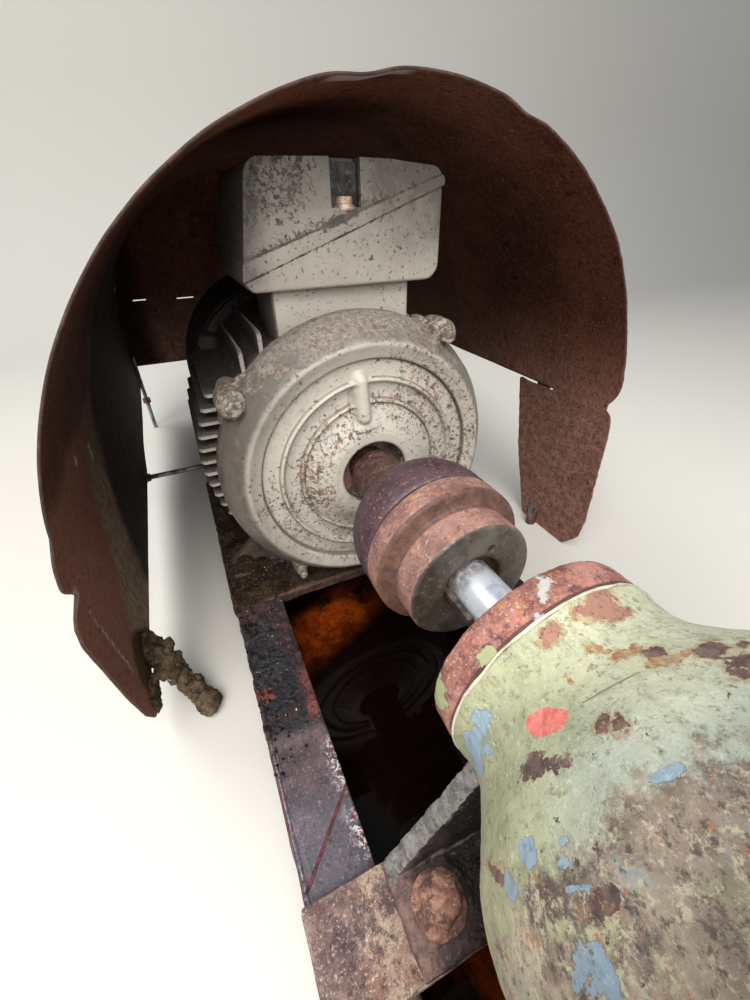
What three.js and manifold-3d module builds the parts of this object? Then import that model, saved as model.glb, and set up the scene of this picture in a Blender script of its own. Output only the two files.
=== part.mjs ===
import * as THREE from 'three';
import { mergeVertices } from 'three/addons/utils/BufferGeometryUtils.js';
import Module from 'manifold-3d';

const wasm = await Module();
wasm.setup();

// A self-priming centrifugal pump set on a steel base, with its motor under a cut steel drum.
// +X runs along the shaft from the motor to the pump, +Z is up, millimetres.
// X = 0 is the front ring of the motor's drive-end shield, Y = 0 the shaft line, Z = 0 the ground.
const SHAFT_Z = 217;
const GAP = 0.3;

const group = new THREE.Group();
group.name = 'self_priming_pump';

const paint = (hex, rough, metal) => new THREE.MeshStandardMaterial({
  color: hex,
  roughness: rough,
  metalness: metal,
});
const motorPaint = paint(0xb4afa0, 0.6, 0.1);
const drumSteel = paint(0x3a2020, 0.8, 0.3);
const baseSteel = paint(0x2e2628, 0.75, 0.4);
const plateSteel = paint(0x7d6652, 0.85, 0.2);
const couplingIron = paint(0x7b5653, 0.7, 0.4);
const shaftSteel = paint(0xa9b3bd, 0.3, 0.9);
const rustRed = paint(0x86483c, 0.8, 0.2);
const pumpPaint = paint(0xaeb598, 0.6, 0.1);
const brass = paint(0xb58d4a, 0.4, 0.9);

// Turns a geometry into one indexed solid whose faces look outward.
function clean(geometry) {
  const bare = geometry.clone();
  bare.deleteAttribute('normal');
  bare.deleteAttribute('uv');
  const merged = mergeVertices(bare, 1e-4);
  const p = merged.attributes.position;
  const old = merged.index.array;
  const kept = [];
  for (let i = 0; i < old.length; i += 3) {
    const [a, b, c] = [old[i], old[i + 1], old[i + 2]];
    if (a !== b && b !== c && c !== a) {
      kept.push(a, b, c);
    }
  }
  let volume = 0;
  const [u, v, w] = [new THREE.Vector3(), new THREE.Vector3(), new THREE.Vector3()];
  for (let i = 0; i < kept.length; i += 3) {
    u.fromBufferAttribute(p, kept[i]);
    v.fromBufferAttribute(p, kept[i + 1]);
    w.fromBufferAttribute(p, kept[i + 2]);
    volume += u.dot(v.cross(w));
  }
  if (volume < 0) {
    kept.reverse();
  }
  merged.setIndex(kept);
  return merged;
}

function solid(geometry) {
  const g = clean(geometry);
  return new wasm.Manifold(new wasm.Mesh({
    numProp: 3,
    vertProperties: new Float32Array(g.attributes.position.array),
    triVerts: new Uint32Array(g.index.array),
  }));
}

function surface(body) {
  const m = body.getMesh();
  const g = new THREE.BufferGeometry();
  g.setAttribute('position', new THREE.BufferAttribute(new Float32Array(m.vertProperties), 3));
  g.setIndex(Array.from(m.triVerts));
  return g;
}

// Adds a named piece, given as a geometry or as a solid, both with the shaft at height 0.
function piece(name, shape, material) {
  const g = clean(shape.isBufferGeometry ? shape : surface(shape));
  g.translate(0, 0, SHAFT_Z);
  g.computeVertexNormals();
  const mesh = new THREE.Mesh(g, material);
  mesh.name = name;
  group.add(mesh);
}

const join = (...bodies) => bodies.reduce((a, b) => a.add(b));
const cut = (body, ...tools) => tools.reduce((a, b) => a.subtract(b), body);

const alongX = new THREE.Matrix4().makeBasis(
  new THREE.Vector3(0, 1, 0),
  new THREE.Vector3(0, 0, 1),
  new THREE.Vector3(1, 0, 0),
);
const alongY = new THREE.Matrix4().makeBasis(
  new THREE.Vector3(1, 0, 0),
  new THREE.Vector3(0, 0, 1),
  new THREE.Vector3(0, -1, 0),
);
const turnX = new THREE.Matrix4().makeBasis(
  new THREE.Vector3(0, 0, 1),
  new THREE.Vector3(1, 0, 0),
  new THREE.Vector3(0, 1, 0),
);

const outline = (points) => new THREE.Shape(points.map(([a, b]) => new THREE.Vector2(a, b)));

const extrude = (shape, depth, curveSegments = 12) => new THREE.ExtrudeGeometry(shape, {
  depth,
  bevelEnabled: false,
  curveSegments,
});

// A (Y, Z) outline carried along X, an (X, Z) outline carried along Y, an (X, Y) one along Z.
const barX = (shape, x0, x1, seg) => extrude(shape, x1 - x0, seg).applyMatrix4(alongX).translate(x0, 0, 0);
const barY = (shape, y0, y1, seg) => extrude(shape, y1 - y0, seg).applyMatrix4(alongY).translate(0, y1, 0);
const barZ = (shape, z0, z1, seg) => extrude(shape, z1 - z0, seg).translate(0, 0, z0);

// A (radius, X) profile turned about the shaft line.
const turned = (points, segments = 48) => new THREE.LatheGeometry(
  points.map(([r, x]) => new THREE.Vector2(r, x)),
  segments,
).applyMatrix4(turnX);

// A (radius, Z) profile turned about an upright line.
const turnedZ = (points, segments = 32) => new THREE.LatheGeometry(
  points.map(([r, z]) => new THREE.Vector2(r, z)),
  segments,
).rotateX(Math.PI / 2);

const block = (x0, x1, y0, y1, z0, z1) => new THREE.BoxGeometry(x1 - x0, y1 - y0, z1 - z0)
  .translate((x0 + x1) / 2, (y0 + y1) / 2, (z0 + z1) / 2);

const rodX = (r, x0, x1, segments = 32) => turned([[0, x0], [r, x0], [r, x1], [0, x1]], segments);
const rodZ = (r, z0, z1, segments = 24) => turnedZ([[0, z0], [r, z0], [r, z1], [0, z1]], segments);
const rodY = (r, y0, y1, segments = 24) => rodZ(r, y0, y1, segments).rotateX(-Math.PI / 2);

// BASE. Two rolled channels with their backs to the inside, closed by end plates and a pan.
const GROUND = -SHAFT_Z;
const RAIL_TOP = -152;
const RAIL_IN = 108;
const RAIL_OUT = 158;
const RAIL_END = 530;
const PLATE_TOP = -142;

for (const [side, s] of [['left', -1], ['right', 1]]) {
  const channel = outline([
    [s * RAIL_IN, GROUND],
    [s * RAIL_OUT, GROUND],
    [s * RAIL_OUT, GROUND + 8],
    [s * (RAIL_IN + 6), GROUND + 8],
    [s * (RAIL_IN + 6), RAIL_TOP - 8],
    [s * RAIL_OUT, RAIL_TOP - 8],
    [s * RAIL_OUT, RAIL_TOP],
    [s * RAIL_IN, RAIL_TOP],
  ]);
  piece(`rail_${side}`, barX(channel, -RAIL_END, RAIL_END), baseSteel);
}
piece('end_plate_motor', block(-540, -RAIL_END - GAP, -RAIL_OUT, RAIL_OUT, GROUND, RAIL_TOP), baseSteel);
piece('end_plate_pump', block(RAIL_END + GAP, 540, -RAIL_OUT, RAIL_OUT, GROUND, RAIL_TOP), baseSteel);
piece('base_pan', block(
  -RAIL_END + GAP, RAIL_END - GAP,
  -RAIL_IN + GAP, RAIL_IN - GAP,
  GROUND, GROUND + 5,
), baseSteel);

const crossPlate = (x0, x1) => block(x0, x1, -160, 160, RAIL_TOP + GAP, PLATE_TOP);
piece('motor_plate_front', crossPlate(-120, -14), plateSteel);
piece('motor_plate_rear', crossPlate(-300, -205), plateSteel);
piece('pump_plate_front', crossPlate(242, 302), plateSteel);
piece('pump_plate_rear', crossPlate(420, 525), plateSteel);

// MOTOR. A totally enclosed, fan-cooled motor of shaft height 132 on four cast feet.
const FRAME_R = 128;
const FIN_R = 152;
const FIN_FRONT = -76;
const FIN_REAR = -240;
const FRAME_FRONT = -42;
const FRAME_REAR = -270;
const FOOT_X = [-80, -252];
const MOTOR_SHAFT_R = 19;
const PUMP_SHAFT_R = 16;

// A fin is a thin plate, square at the front, whose rear end slopes down to the plain band.
const finBlade = (root, tip) => outline([
  [FIN_REAR, root],
  [FIN_FRONT, root],
  [FIN_FRONT, tip - 3],
  [FIN_FRONT - 4, tip],
  [FIN_REAR + 16, tip],
  [FIN_REAR, tip - 17],
]);
const finParts = [];
for (let k = 0; k < 12; k += 1) {
  const z = 71.5 - 13.2 * k;
  const tip = Math.sqrt(FIN_R ** 2 - z ** 2);
  const blade = solid(barZ(finBlade(95, tip), z - 1.8, z + 1.8));
  finParts.push(blade, blade.mirror([0, 1, 0]));
}
for (const y of [76, 95]) {
  const tip = Math.sqrt((FIN_R - 8) ** 2 - y ** 2);
  const blade = solid(barY(finBlade(60, tip), y - 1.8, y + 1.8));
  finParts.push(blade, blade.mirror([0, 1, 0]));
}
for (let y = -48; y < 50; y += 16) {
  const tip = Math.sqrt(136 ** 2 - y ** 2);
  finParts.push(solid(block(FIN_REAR, FIN_FRONT, y - 1.8, y + 1.8, -tip, -80)));
}
const footWeb = (s) => outline([
  [s * 84, PLATE_TOP + GAP],
  [s * 152, PLATE_TOP + GAP],
  [s * 152, PLATE_TOP + 14],
  [s * 122, PLATE_TOP + 40],
  [s * 112, -60],
  [s * 84, -60],
]);
const footParts = [];
for (const x of FOOT_X) {
  for (const s of [-1, 1]) {
    const pad = outline([
      [s * 84, PLATE_TOP + GAP],
      [s * 152, PLATE_TOP + GAP],
      [s * 152, PLATE_TOP + 14],
      [s * 84, PLATE_TOP + 14],
    ]);
    footParts.push(solid(barX(pad, x - 26, x + 26)));
    footParts.push(solid(barX(footWeb(s), x - 7, x + 7)));
  }
}
// Four ears at each end of the frame take the shield bolts.
const SHIELD_TURN = 10;
const LUG_R = 141;
const LUG_ANGLES = [45, 135, 225, 315].map((a) => (a + SHIELD_TURN) * Math.PI / 180);
const ears = (r, x0, x1) => LUG_ANGLES.map((a) => solid(rodX(r, x0, x1, 20))
  .translate([0, (LUG_R - 3) * Math.cos(a), (LUG_R - 3) * Math.sin(a)]));
piece('motor_frame', join(
  solid(rodX(FRAME_R, FRAME_REAR, FRAME_FRONT, 56)),
  ...ears(11, -74, FRAME_FRONT),
  ...finParts,
  ...footParts,
), motorPaint);

// Drive-end shield: a domed iron casting with turned steps, a raised rib and four bolt lugs.
const HUB_HOLE_R = 32.4;
const RING_R = 118;
const SHIELD_R = 140;
const shieldProfile = [
  [MOTOR_SHAFT_R + GAP, FRAME_FRONT + GAP],
  [MOTOR_SHAFT_R + GAP, -14],
  [HUB_HOLE_R, -14],
  [HUB_HOLE_R, 6],
  [46, 6],
  [52, 0],
  [63, -3],
  [65, 0],
  [68, 0],
  [70, -4],
  [83, -5],
  [85, -1],
  [88, -1],
  [90, -5],
  [102, -5],
  [104, -1],
  [107, -1],
  [110, -4],
  [115, -3],
  [RING_R, 0],
  [124, -4],
  [131, -12],
  [137, -22],
  [SHIELD_R, -30],
  [SHIELD_R, FRAME_FRONT + GAP],
  [MOTOR_SHAFT_R + GAP, FRAME_FRONT + GAP],
];
const lugs = LUG_ANGLES.map((a) => solid(rodX(12, FRAME_FRONT + GAP, -14, 20))
  .translate([0, LUG_R * Math.cos(a), LUG_R * Math.sin(a)]));
const RIB_Y = -7.5;
const rib = join(
  solid(rodZ(7, 50, 91, 16)).translate([1, RIB_Y, 0]),
  solid(block(-9, 1, RIB_Y - 7, RIB_Y + 7, 50, 91)),
);
piece('shield_drive_end', join(solid(turned(shieldProfile, 64)), ...lugs, rib), motorPaint);

piece('shield_far_end', turned([
  [0, FRAME_REAR - GAP],
  [SHIELD_R, FRAME_REAR - GAP],
  [SHIELD_R, -284],
  [138.3, -286],
  [138.3, -296],
  [110, -302],
  [0, -302],
], 48), motorPaint);

// Pressed fan cowl over the far shield, with a round air inlet in its end.
const COWL_END = -452;
piece('fan_cowl', turned([
  [138.6, -287],
  [138.6, COWL_END + 22],
  [118, COWL_END + 2],
  [80, COWL_END + 2],
  [80, COWL_END],
  [119, COWL_END],
  [140.6, COWL_END + 21],
  [140.6, -287],
  [138.6, -287],
], 48), motorPaint);

// Terminal box on its pedestal: the cover is parted from the base on a slanting line.
const BOX_X0 = -185;
const BOX_X1 = -45;
const BOX_Z0 = 157;
const boxFace = [
  [-80, BOX_Z0],
  [80, BOX_Z0],
  [88, BOX_Z0 + 8],
  [88, 230],
  [82, 238],
  [40, 242],
  [0, 243],
  [-66, 242],
  [-73, 236],
  [-86, 164],
];
const PART_SLOPE = 0.36;
const PART_Z = 201;
const partLine = (lift, far) => outline([
  [-200, PART_Z - 200 * PART_SLOPE + lift],
  [200, PART_Z + 200 * PART_SLOPE + lift],
  [200, far],
  [-200, far],
]);
const boxBody = solid(barX(outline(boxFace), BOX_X0, BOX_X1));
const frameAllowance = solid(rodX(FRAME_R + GAP, FRAME_REAR - 20, FRAME_FRONT + 20, 56));
piece('box_pedestal', cut(
  solid(block(-128, -57, -64, 64, 90, BOX_Z0 - GAP)),
  frameAllowance,
), motorPaint);
piece('box_base', cut(
  boxBody,
  solid(barX(partLine(0, 500), BOX_X0 - 10, BOX_X1 + 10)),
), motorPaint);
piece('box_cover', cut(
  boxBody,
  solid(barX(partLine(GAP, -500), BOX_X0 - 10, BOX_X1 + 10)),
  solid(block(BOX_X1 - 14, BOX_X1 + 5, -11, 14, 212, 260)),
), motorPaint);

// COUPLING. Two iron halves bolted face to face on the motor and pump shafts.
const COUPLING_R = 58.3;
piece('motor_shaft', rodX(MOTOR_SHAFT_R, FRAME_FRONT + 1, 92, 32), shaftSteel);
piece('coupling_motor_half', turned([
  [MOTOR_SHAFT_R + GAP, 2],
  [24, 2],
  [24, 44],
  [27, 52],
  [36, 61],
  [47, 71],
  [54, 81],
  [57.5, 92],
  [COUPLING_R, 104],
  [COUPLING_R, 116],
  [57, 118],
  [MOTOR_SHAFT_R + GAP, 118],
  [MOTOR_SHAFT_R + GAP, 2],
], 56), couplingIron);
const pumpHalf = solid(turned([
  [PUMP_SHAFT_R + GAP, 119],
  [57, 119],
  [58.5, 121],
  [58.5, 138],
  [57, 140],
  [52, 141],
  [47.5, 144],
  [47.5, 164],
  [45.5, 167],
  [PUMP_SHAFT_R + GAP, 167],
  [PUMP_SHAFT_R + GAP, 119],
], 56));
const KEY_TURN = 105 * Math.PI / 180;
const KEY_TOP = 20;
piece('coupling_pump_half', cut(
  pumpHalf,
  solid(rodX(21.5, 163, 170, 32)),
  solid(block(110, 175, -5, 5, 0, KEY_TOP + GAP).rotateX(KEY_TURN)),
  solid(rodX(3.2, 158, 170, 12)).translate([0, 11.4, 26.7]),
), couplingIron);
piece('pump_shaft', rodX(PUMP_SHAFT_R, 119.5, 296, 32), shaftSteel);
piece('shaft_key', block(124, 192, -4.7, 4.7, PUMP_SHAFT_R + GAP, KEY_TOP).rotateX(KEY_TURN), shaftSteel);

// PUMP. Bearing cover and bearing housing, cast as one bell that flares to the casing.
const COVER_X = 221;
const SEAM_X = 243;
piece('bearing_cover', turned([
  [PUMP_SHAFT_R + GAP, COVER_X],
  [60, COVER_X],
  [64.4, COVER_X + 4],
  [64.4, SEAM_X - GAP],
  [PUMP_SHAFT_R + GAP, SEAM_X - GAP],
  [PUMP_SHAFT_R + GAP, COVER_X],
], 56), rustRed);
piece('bearing_housing', turned([
  [0, 300],
  [PUMP_SHAFT_R + GAP, 300],
  [PUMP_SHAFT_R + GAP, SEAM_X],
  [64.8, SEAM_X],
  [64.8, SEAM_X + 5],
  [63.5, SEAM_X + 8],
  [63.5, 262],
  [67, 271],
  [73, 280],
  [80, 288],
  [87, 298],
  [92, 309],
  [95.5, 322],
  [97.5, 338],
  [100, 348],
  [106, 354],
  [148, 356],
  [148, 372],
  [0, 372],
], 56), pumpPaint);

const footAllowance = solid(rodX(64.8 + GAP, SEAM_X - 2, 262, 56));
const footPlate = solid(block(246, 302, -106, 106, PLATE_TOP + GAP, PLATE_TOP + 14));
const footGusset = solid(barX(outline([
  [-105, PLATE_TOP + 5],
  [105, PLATE_TOP + 5],
  [105, PLATE_TOP + 16],
  [52, -42],
  [52, -20],
  [-52, -20],
  [-52, -42],
  [-105, PLATE_TOP + 16],
]), 246, 258));
piece('support_foot', cut(join(footPlate, footGusset), footAllowance), pumpPaint);

// Volute casing with the priming chamber above it, a side inlet and an upward outlet.
const CASE_X0 = 372 + GAP;
const CASE_X1 = 575;
const IN_Z = 95;
const OUT_X = 462;
const OUT_Z = 176;
const PORT_R = 40;
const chamber = new THREE.Shape();
chamber.moveTo(-128, 0);
chamber.lineTo(-128, 120);
chamber.absarc(-88, 128, 40, Math.PI, Math.PI / 2, true);
chamber.lineTo(88, 168);
chamber.absarc(88, 128, 40, Math.PI / 2, 0, true);
chamber.lineTo(128, 0);
chamber.closePath();
const caseBody = join(
  solid(turned([
    [0, CASE_X0],
    [148, CASE_X0],
    [148, CASE_X0 + 16],
    [129, CASE_X0 + 20],
    [129, 540],
    [120, 556],
    [100, 570],
    [0, 570],
  ], 56)),
  solid(barX(chamber, CASE_X0 + 14, CASE_X1, 8)),
);
piece('casing', cut(
  caseBody,
  solid(rodX(PORT_R, 530, CASE_X1 + 10, 32).translate(0, 0, IN_Z)),
  solid(rodZ(PORT_R, 70, 200, 32).translate(OUT_X, 0, 0)),
), pumpPaint);

const flangeHoles = (count, radius, holeR) => {
  const disc = new THREE.Shape().absarc(0, 0, 100, 0, 2 * Math.PI, false);
  for (let k = 0; k < count; k += 1) {
    const a = (k + 0.5) * 2 * Math.PI / count;
    const hole = new THREE.Path();
    hole.absarc(radius * Math.cos(a), radius * Math.sin(a), holeR, 0, 2 * Math.PI, true);
    disc.holes.push(hole);
  }
  const port = new THREE.Path();
  port.absarc(0, 0, PORT_R, 0, 2 * Math.PI, true);
  disc.holes.push(port);
  return disc;
};
const neckTube = (length) => turnedZ([
  [PORT_R, 0],
  [58, 0],
  [52, 10],
  [52, length],
  [PORT_R, length],
  [PORT_R, 0],
], 32);
const portNeck = (length) => join(
  solid(neckTube(length - 4)),
  solid(barZ(flangeHoles(8, 80, 9), length - 20, length, 16)),
);
piece('outlet_neck', portNeck(60).translate([OUT_X, 0, 168 + GAP]), pumpPaint);
piece('inlet_neck', portNeck(65).rotate([0, 90, 0]).translate([CASE_X1 + GAP, 0, IN_Z]), pumpPaint);

const hex = (r) => outline([0, 1, 2, 3, 4, 5].map((k) => [
  r * Math.cos(k * Math.PI / 3),
  r * Math.sin(k * Math.PI / 3),
]));
piece('filler_plug', join(
  solid(rodZ(26, 168 + GAP, 176, 24)),
  solid(barZ(hex(18), 174, 190)),
).translate([OUT_X + 86 - 6, 0, 0]).translate([0, 84, 0]), brass);
piece('drain_plug', join(
  solid(rodX(18, 570 + GAP, 576, 24)),
  solid(barX(hex(13), 574, 588)),
).translate([0, 0, -78]), brass);

const caseAllowance = solid(rodX(129 + GAP, 380, 580, 56));
for (const [side, s] of [['left', -1], ['right', 1]]) {
  const pad = solid(block(430, 515, Math.min(s * 70, s * 150), Math.max(s * 70, s * 150),
    PLATE_TOP + GAP, PLATE_TOP + 14));
  const web = solid(barX(outline([
    [s * 70, PLATE_TOP + 8],
    [s * 148, PLATE_TOP + 8],
    [s * 126, -60],
    [s * 120, -30],
    [s * 80, -30],
  ]), 462, 482));
  piece(`casing_foot_${side}`, cut(join(pad, web), caseAllowance), pumpPaint);
}

// HOOD. A steel drum cut open lengthways and stood over the motor.
const DRUM_R = 286;
const DRUM_Y = 33;
const DRUM_Z = -4;
const SKIN = 2;
const HOOD_REAR = -760;
const hoodSkin = new THREE.Shape();
const rightEdge = DRUM_Y + DRUM_R;
const leftEdge = DRUM_Y - DRUM_R;
hoodSkin.moveTo(rightEdge, DRUM_Z + 4);
hoodSkin.absarc(DRUM_Y, DRUM_Z, DRUM_R, 4 / DRUM_R, Math.PI, false);
hoodSkin.lineTo(leftEdge, GROUND);
hoodSkin.lineTo(leftEdge + SKIN, GROUND);
hoodSkin.lineTo(leftEdge + SKIN, DRUM_Z);
hoodSkin.absarc(DRUM_Y, DRUM_Z, DRUM_R - SKIN, Math.PI, 4 / DRUM_R, true);
hoodSkin.closePath();

// The open mouth lies on a plane that leans back at the top and to the right. Below it, on the
// left, the wall juts forward, with a nick where the sheet was cut and a torn lower corner. On
// the right, the front corner over the leg is rounded off.
const MOUTH_X = 35;
const CORNER_Z = 40;
const lean = new THREE.Vector3(1, 0.076, 0.079).normalize();
const mouthFace = new THREE.BoxGeometry(400, 1600, 1600).translate(200, 0, 0);
mouthFace.applyQuaternion(new THREE.Quaternion().setFromUnitVectors(new THREE.Vector3(1, 0, 0), lean));
mouthFace.translate(MOUTH_X, DRUM_Y, DRUM_Z);
const mouthCut = cut(solid(mouthFace), solid(block(-300, 700, -500, -100, -500, CORNER_Z)));
const wallTrim = barY(outline([
  [54, CORNER_Z],
  [66, 28],
  [70, 11],
  [64, 3],
  [53, -7],
  [69, -9],
  [80, -13],
  [84, -28],
  [77, -76],
  [69, -118],
  [58, -160],
  [44, -186],
  [25, -194],
  [13, -181],
  [-5, -172],
  [-60, -165],
  [-400, -163],
  [-505, -142],
  [HOOD_REAR - 10, -122],
  [HOOD_REAR - 10, -500],
  [400, -500],
  [400, CORNER_Z],
]), -400, -100);
const cornerTrim = barY(outline([
  [60, 80],
  [6, 60],
  [3, 40],
  [-3, 22],
  [-14, 8],
  [-30, -3],
  [-30, -20],
  [60, -20],
]), 200, 400);
const TIE_X = -380;
const TIE_Z = -154;
piece('hood_shell', cut(
  solid(barX(hoodSkin, HOOD_REAR, 140, 28)),
  mouthCut,
  solid(wallTrim),
  solid(cornerTrim),
  solid(rodY(4 + GAP, -300, -200, 16).translate(TIE_X, 0, TIE_Z)),
), drumSteel);

const backShape = new THREE.Shape();
const BACK_EDGE = -72;
const inner = DRUM_R - SKIN - GAP;
backShape.moveTo(DRUM_Y + inner, BACK_EDGE);
backShape.lineTo(DRUM_Y + inner, DRUM_Z);
backShape.absarc(DRUM_Y, DRUM_Z, inner, 0, Math.PI, false);
backShape.lineTo(DRUM_Y - inner, BACK_EDGE);
backShape.closePath();
piece('hood_back_plate', barX(backShape, HOOD_REAR + 3, HOOD_REAR + 5, 28), drumSteel);

// Right leg: a sheet standing on the ground below the cut wall, hung on two outside straps.
piece('hood_leg_right', barY(outline([
  [-163, -3],
  [14, -3],
  [16, -160],
  [12, -190],
  [-10, GROUND],
  [-100, GROUND],
  [-137, -117],
]), rightEdge - SKIN, rightEdge), drumSteel);
for (const [name, x] of [['front', -32], ['rear', -128]]) {
  piece(`leg_strap_${name}`, block(x, x + 24, rightEdge + GAP, rightEdge + 3, -34, 22), drumSteel);
}
piece('tie_bolt', join(
  solid(rodY(4, leftEdge - 6, -RAIL_OUT - GAP, 16)),
  solid(rodY(9, leftEdge - 8, leftEdge - GAP, 16)),
).translate([TIE_X, 0, TIE_Z]), shaftSteel);

// Left stay: a flat bar that runs from the wall's lower edge down to the ground.
const stayFrom = new THREE.Vector3(-34, leftEdge + SKIN + 5, -158);
const stayTo = new THREE.Vector3(30, leftEdge + 44, GROUND + 8);
const stayRun = stayTo.clone().sub(stayFrom);
const stayBar = block(-6, stayRun.length() + 6, -15, 2, -2.5, 2.5);
stayBar.applyQuaternion(new THREE.Quaternion().setFromUnitVectors(
  new THREE.Vector3(1, 0, 0),
  stayRun.clone().normalize(),
));
stayBar.translate(...stayFrom.toArray());
piece('hood_stay', cut(
  solid(stayBar),
  solid(block(-200, 200, -500, leftEdge + SKIN + GAP, -400, 0)),
  solid(block(-200, 200, -500, 0, GROUND - 100, GROUND)),
), drumSteel);

const rodX0 = HOOD_REAR + 5 + GAP + 4;
for (const [side, y] of [['left', leftEdge + SKIN + 4.5], ['right', rightEdge - 12]]) {
  piece(`hood_rod_${side}`, join(
    solid(rodZ(4, GROUND, -50, 16)),
    solid(barZ(hex(9), -154, -144)),
  ).translate([rodX0, y, 0]), shaftSteel);
}

export default group;
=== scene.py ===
import math
import random

import bmesh
import bpy
from mathutils import Euler, Matrix, Vector, noise


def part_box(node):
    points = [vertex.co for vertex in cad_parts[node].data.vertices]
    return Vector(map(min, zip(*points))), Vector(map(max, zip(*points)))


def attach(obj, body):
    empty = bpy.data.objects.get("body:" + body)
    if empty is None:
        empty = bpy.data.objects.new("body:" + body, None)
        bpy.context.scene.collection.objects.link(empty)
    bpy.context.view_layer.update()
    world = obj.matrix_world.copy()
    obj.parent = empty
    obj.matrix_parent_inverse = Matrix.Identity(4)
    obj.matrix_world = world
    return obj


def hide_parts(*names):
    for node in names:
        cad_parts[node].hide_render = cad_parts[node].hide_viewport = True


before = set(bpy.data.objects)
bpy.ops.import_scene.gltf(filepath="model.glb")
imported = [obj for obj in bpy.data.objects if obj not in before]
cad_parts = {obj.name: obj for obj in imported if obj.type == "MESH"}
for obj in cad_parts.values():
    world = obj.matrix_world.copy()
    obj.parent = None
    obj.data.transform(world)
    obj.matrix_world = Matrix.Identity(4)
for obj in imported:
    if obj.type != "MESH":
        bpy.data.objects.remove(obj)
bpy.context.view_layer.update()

# CAMERA
# It stands over the bearing housing and looks down along the shaft into the hood. Its place, turn
# and lens were found from the drum's mouth, the shield's rings and the rails.
camera_data = bpy.data.cameras.new("camera")
camera_data.sensor_fit = "HORIZONTAL"
camera_data.sensor_width = 36
camera_data.lens = 20.263
camera_data.clip_start = 0.01
camera = bpy.data.objects.new("camera", camera_data)
camera.location = (0.32734, -0.14114, 0.42872)
camera.rotation_euler = Euler([math.radians(a) for a in (55.2575, 0.9334, 65.8354)])
bpy.context.scene.collection.objects.link(camera)
bpy.context.scene.camera = camera

# STUDIO
# A pale sheet of card swept from the floor up into a wall, with one large soft lamp overhead,
# one behind the camera and a dim pale room all around.
FLOOR_TONE = "c2beb6"
SWEEP_START = -1.5
SWEEP_R = 0.9


def tone(code):
    """A colour as it looks on a screen, such as "beb4a0", as the light it stands for."""
    levels = [int(code[k:k + 2], 16) / 255 for k in (0, 2, 4)]
    return (*[c / 12.92 if c <= 0.04045 else ((c + 0.055) / 1.055) ** 2.4 for c in levels], 1)


class Shade:
    """One socket of a finish. Sums on it add Math nodes, so 1 - mask works."""

    def __init__(self, tree, socket=None):
        self.tree = tree
        self.socket = socket

    def node(self, kind, settings=None, values=None, out=0):
        """Adds a node: first its settings, then the values, colour codes or links of its sockets."""
        made = self.tree.nodes.new(kind)
        for name, setting in (settings or {}).items():
            setattr(made, name, setting)
        for name, value in (values or {}).items():
            socket = made.inputs[name]
            if isinstance(value, Shade):
                self.tree.links.new(value.socket, socket)
            else:
                socket.default_value = tone(value) if isinstance(value, str) else value
        return Shade(self.tree, made.outputs[out] if made.outputs else None)

    def math(self, operation, *terms):
        return self.node("ShaderNodeMath", {"operation": operation}, dict(enumerate(terms)))

    def __add__(self, other):
        return self.math("ADD", self, other)

    __radd__ = __add__

    def __sub__(self, other):
        return self.math("SUBTRACT", self, other)

    def __rsub__(self, other):
        return self.math("SUBTRACT", other, self)

    def __abs__(self):
        return self.math("ABSOLUTE", self)

    def __mul__(self, other):
        return self.math("MULTIPLY", self, other)

    __rmul__ = __mul__


def finish(name):
    """A new material, and the point on the piece where its patterns start."""
    material = bpy.data.materials.new(name)
    material.use_nodes = True
    material.node_tree.nodes.clear()
    return material, Shade(material.node_tree).node("ShaderNodeTexCoord", out=3)


def cloud(spot, size, detail=4, rough=0.6, twist=0.0, seed=0.0):
    """Uneven fractal patches of about a size in millimetres, from 0 to 1."""
    return spot.node(
        "ShaderNodeTexNoise",
        {"noise_dimensions": "4D"},
        {
            "Vector": spot, "W": seed, "Scale": 500 / size,
            "Detail": detail, "Roughness": rough, "Distortion": twist,
        },
    )


def step(value, low, high):
    """A soft step from 0 to 1 as the value goes from low to high."""
    return value.node("ShaderNodeMapRange", {"interpolation_type": "SMOOTHSTEP"}, {0: value, 1: low, 2: high})


def blend(mask, under, over):
    """The colour over lies on the colour under where the mask is 1."""
    return mask.node("ShaderNodeMix", {"data_type": "RGBA"}, {0: mask, 6: under, 7: over}, out=2)


def mottle(spot, first, second, low, high, *grain):
    """Two colours in patches: the second one where the cloud of that grain rises from low to high."""
    return blend(step(cloud(spot, *grain), low, high), first, second)


def dab(under, colour, share, spot, low, high, *grain):
    """Lays a colour over another in such patches, as strongly as share."""
    return blend(step(cloud(spot, *grain), low, high) * share, under, colour)


def coat(material, colour, rough, metal=0.0, height=None, depth=0.5, **fixed):
    """Gives the surface its shader; height is raised by depth millimetres from 0 to 1."""
    start = Shade(material.node_tree)
    values = {"Base Color": colour, "Roughness": rough, "Metallic": metal}
    values.update({name.replace("_", " "): value for name, value in fixed.items()})
    if height is not None:
        values["Normal"] = start.node(
            "ShaderNodeBump", {}, {"Strength": 1.0, "Distance": depth / 1000, "Height": height},
        )
    shader = start.node("ShaderNodeBsdfPrincipled", {}, values)
    start.node("ShaderNodeOutputMaterial", {}, {"Surface": shader})


card, spot = finish("pale_card")
coat(card, blend(cloud(spot, 900, 3), FLOOR_TONE, "c9c6bf"), 0.85)

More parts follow.
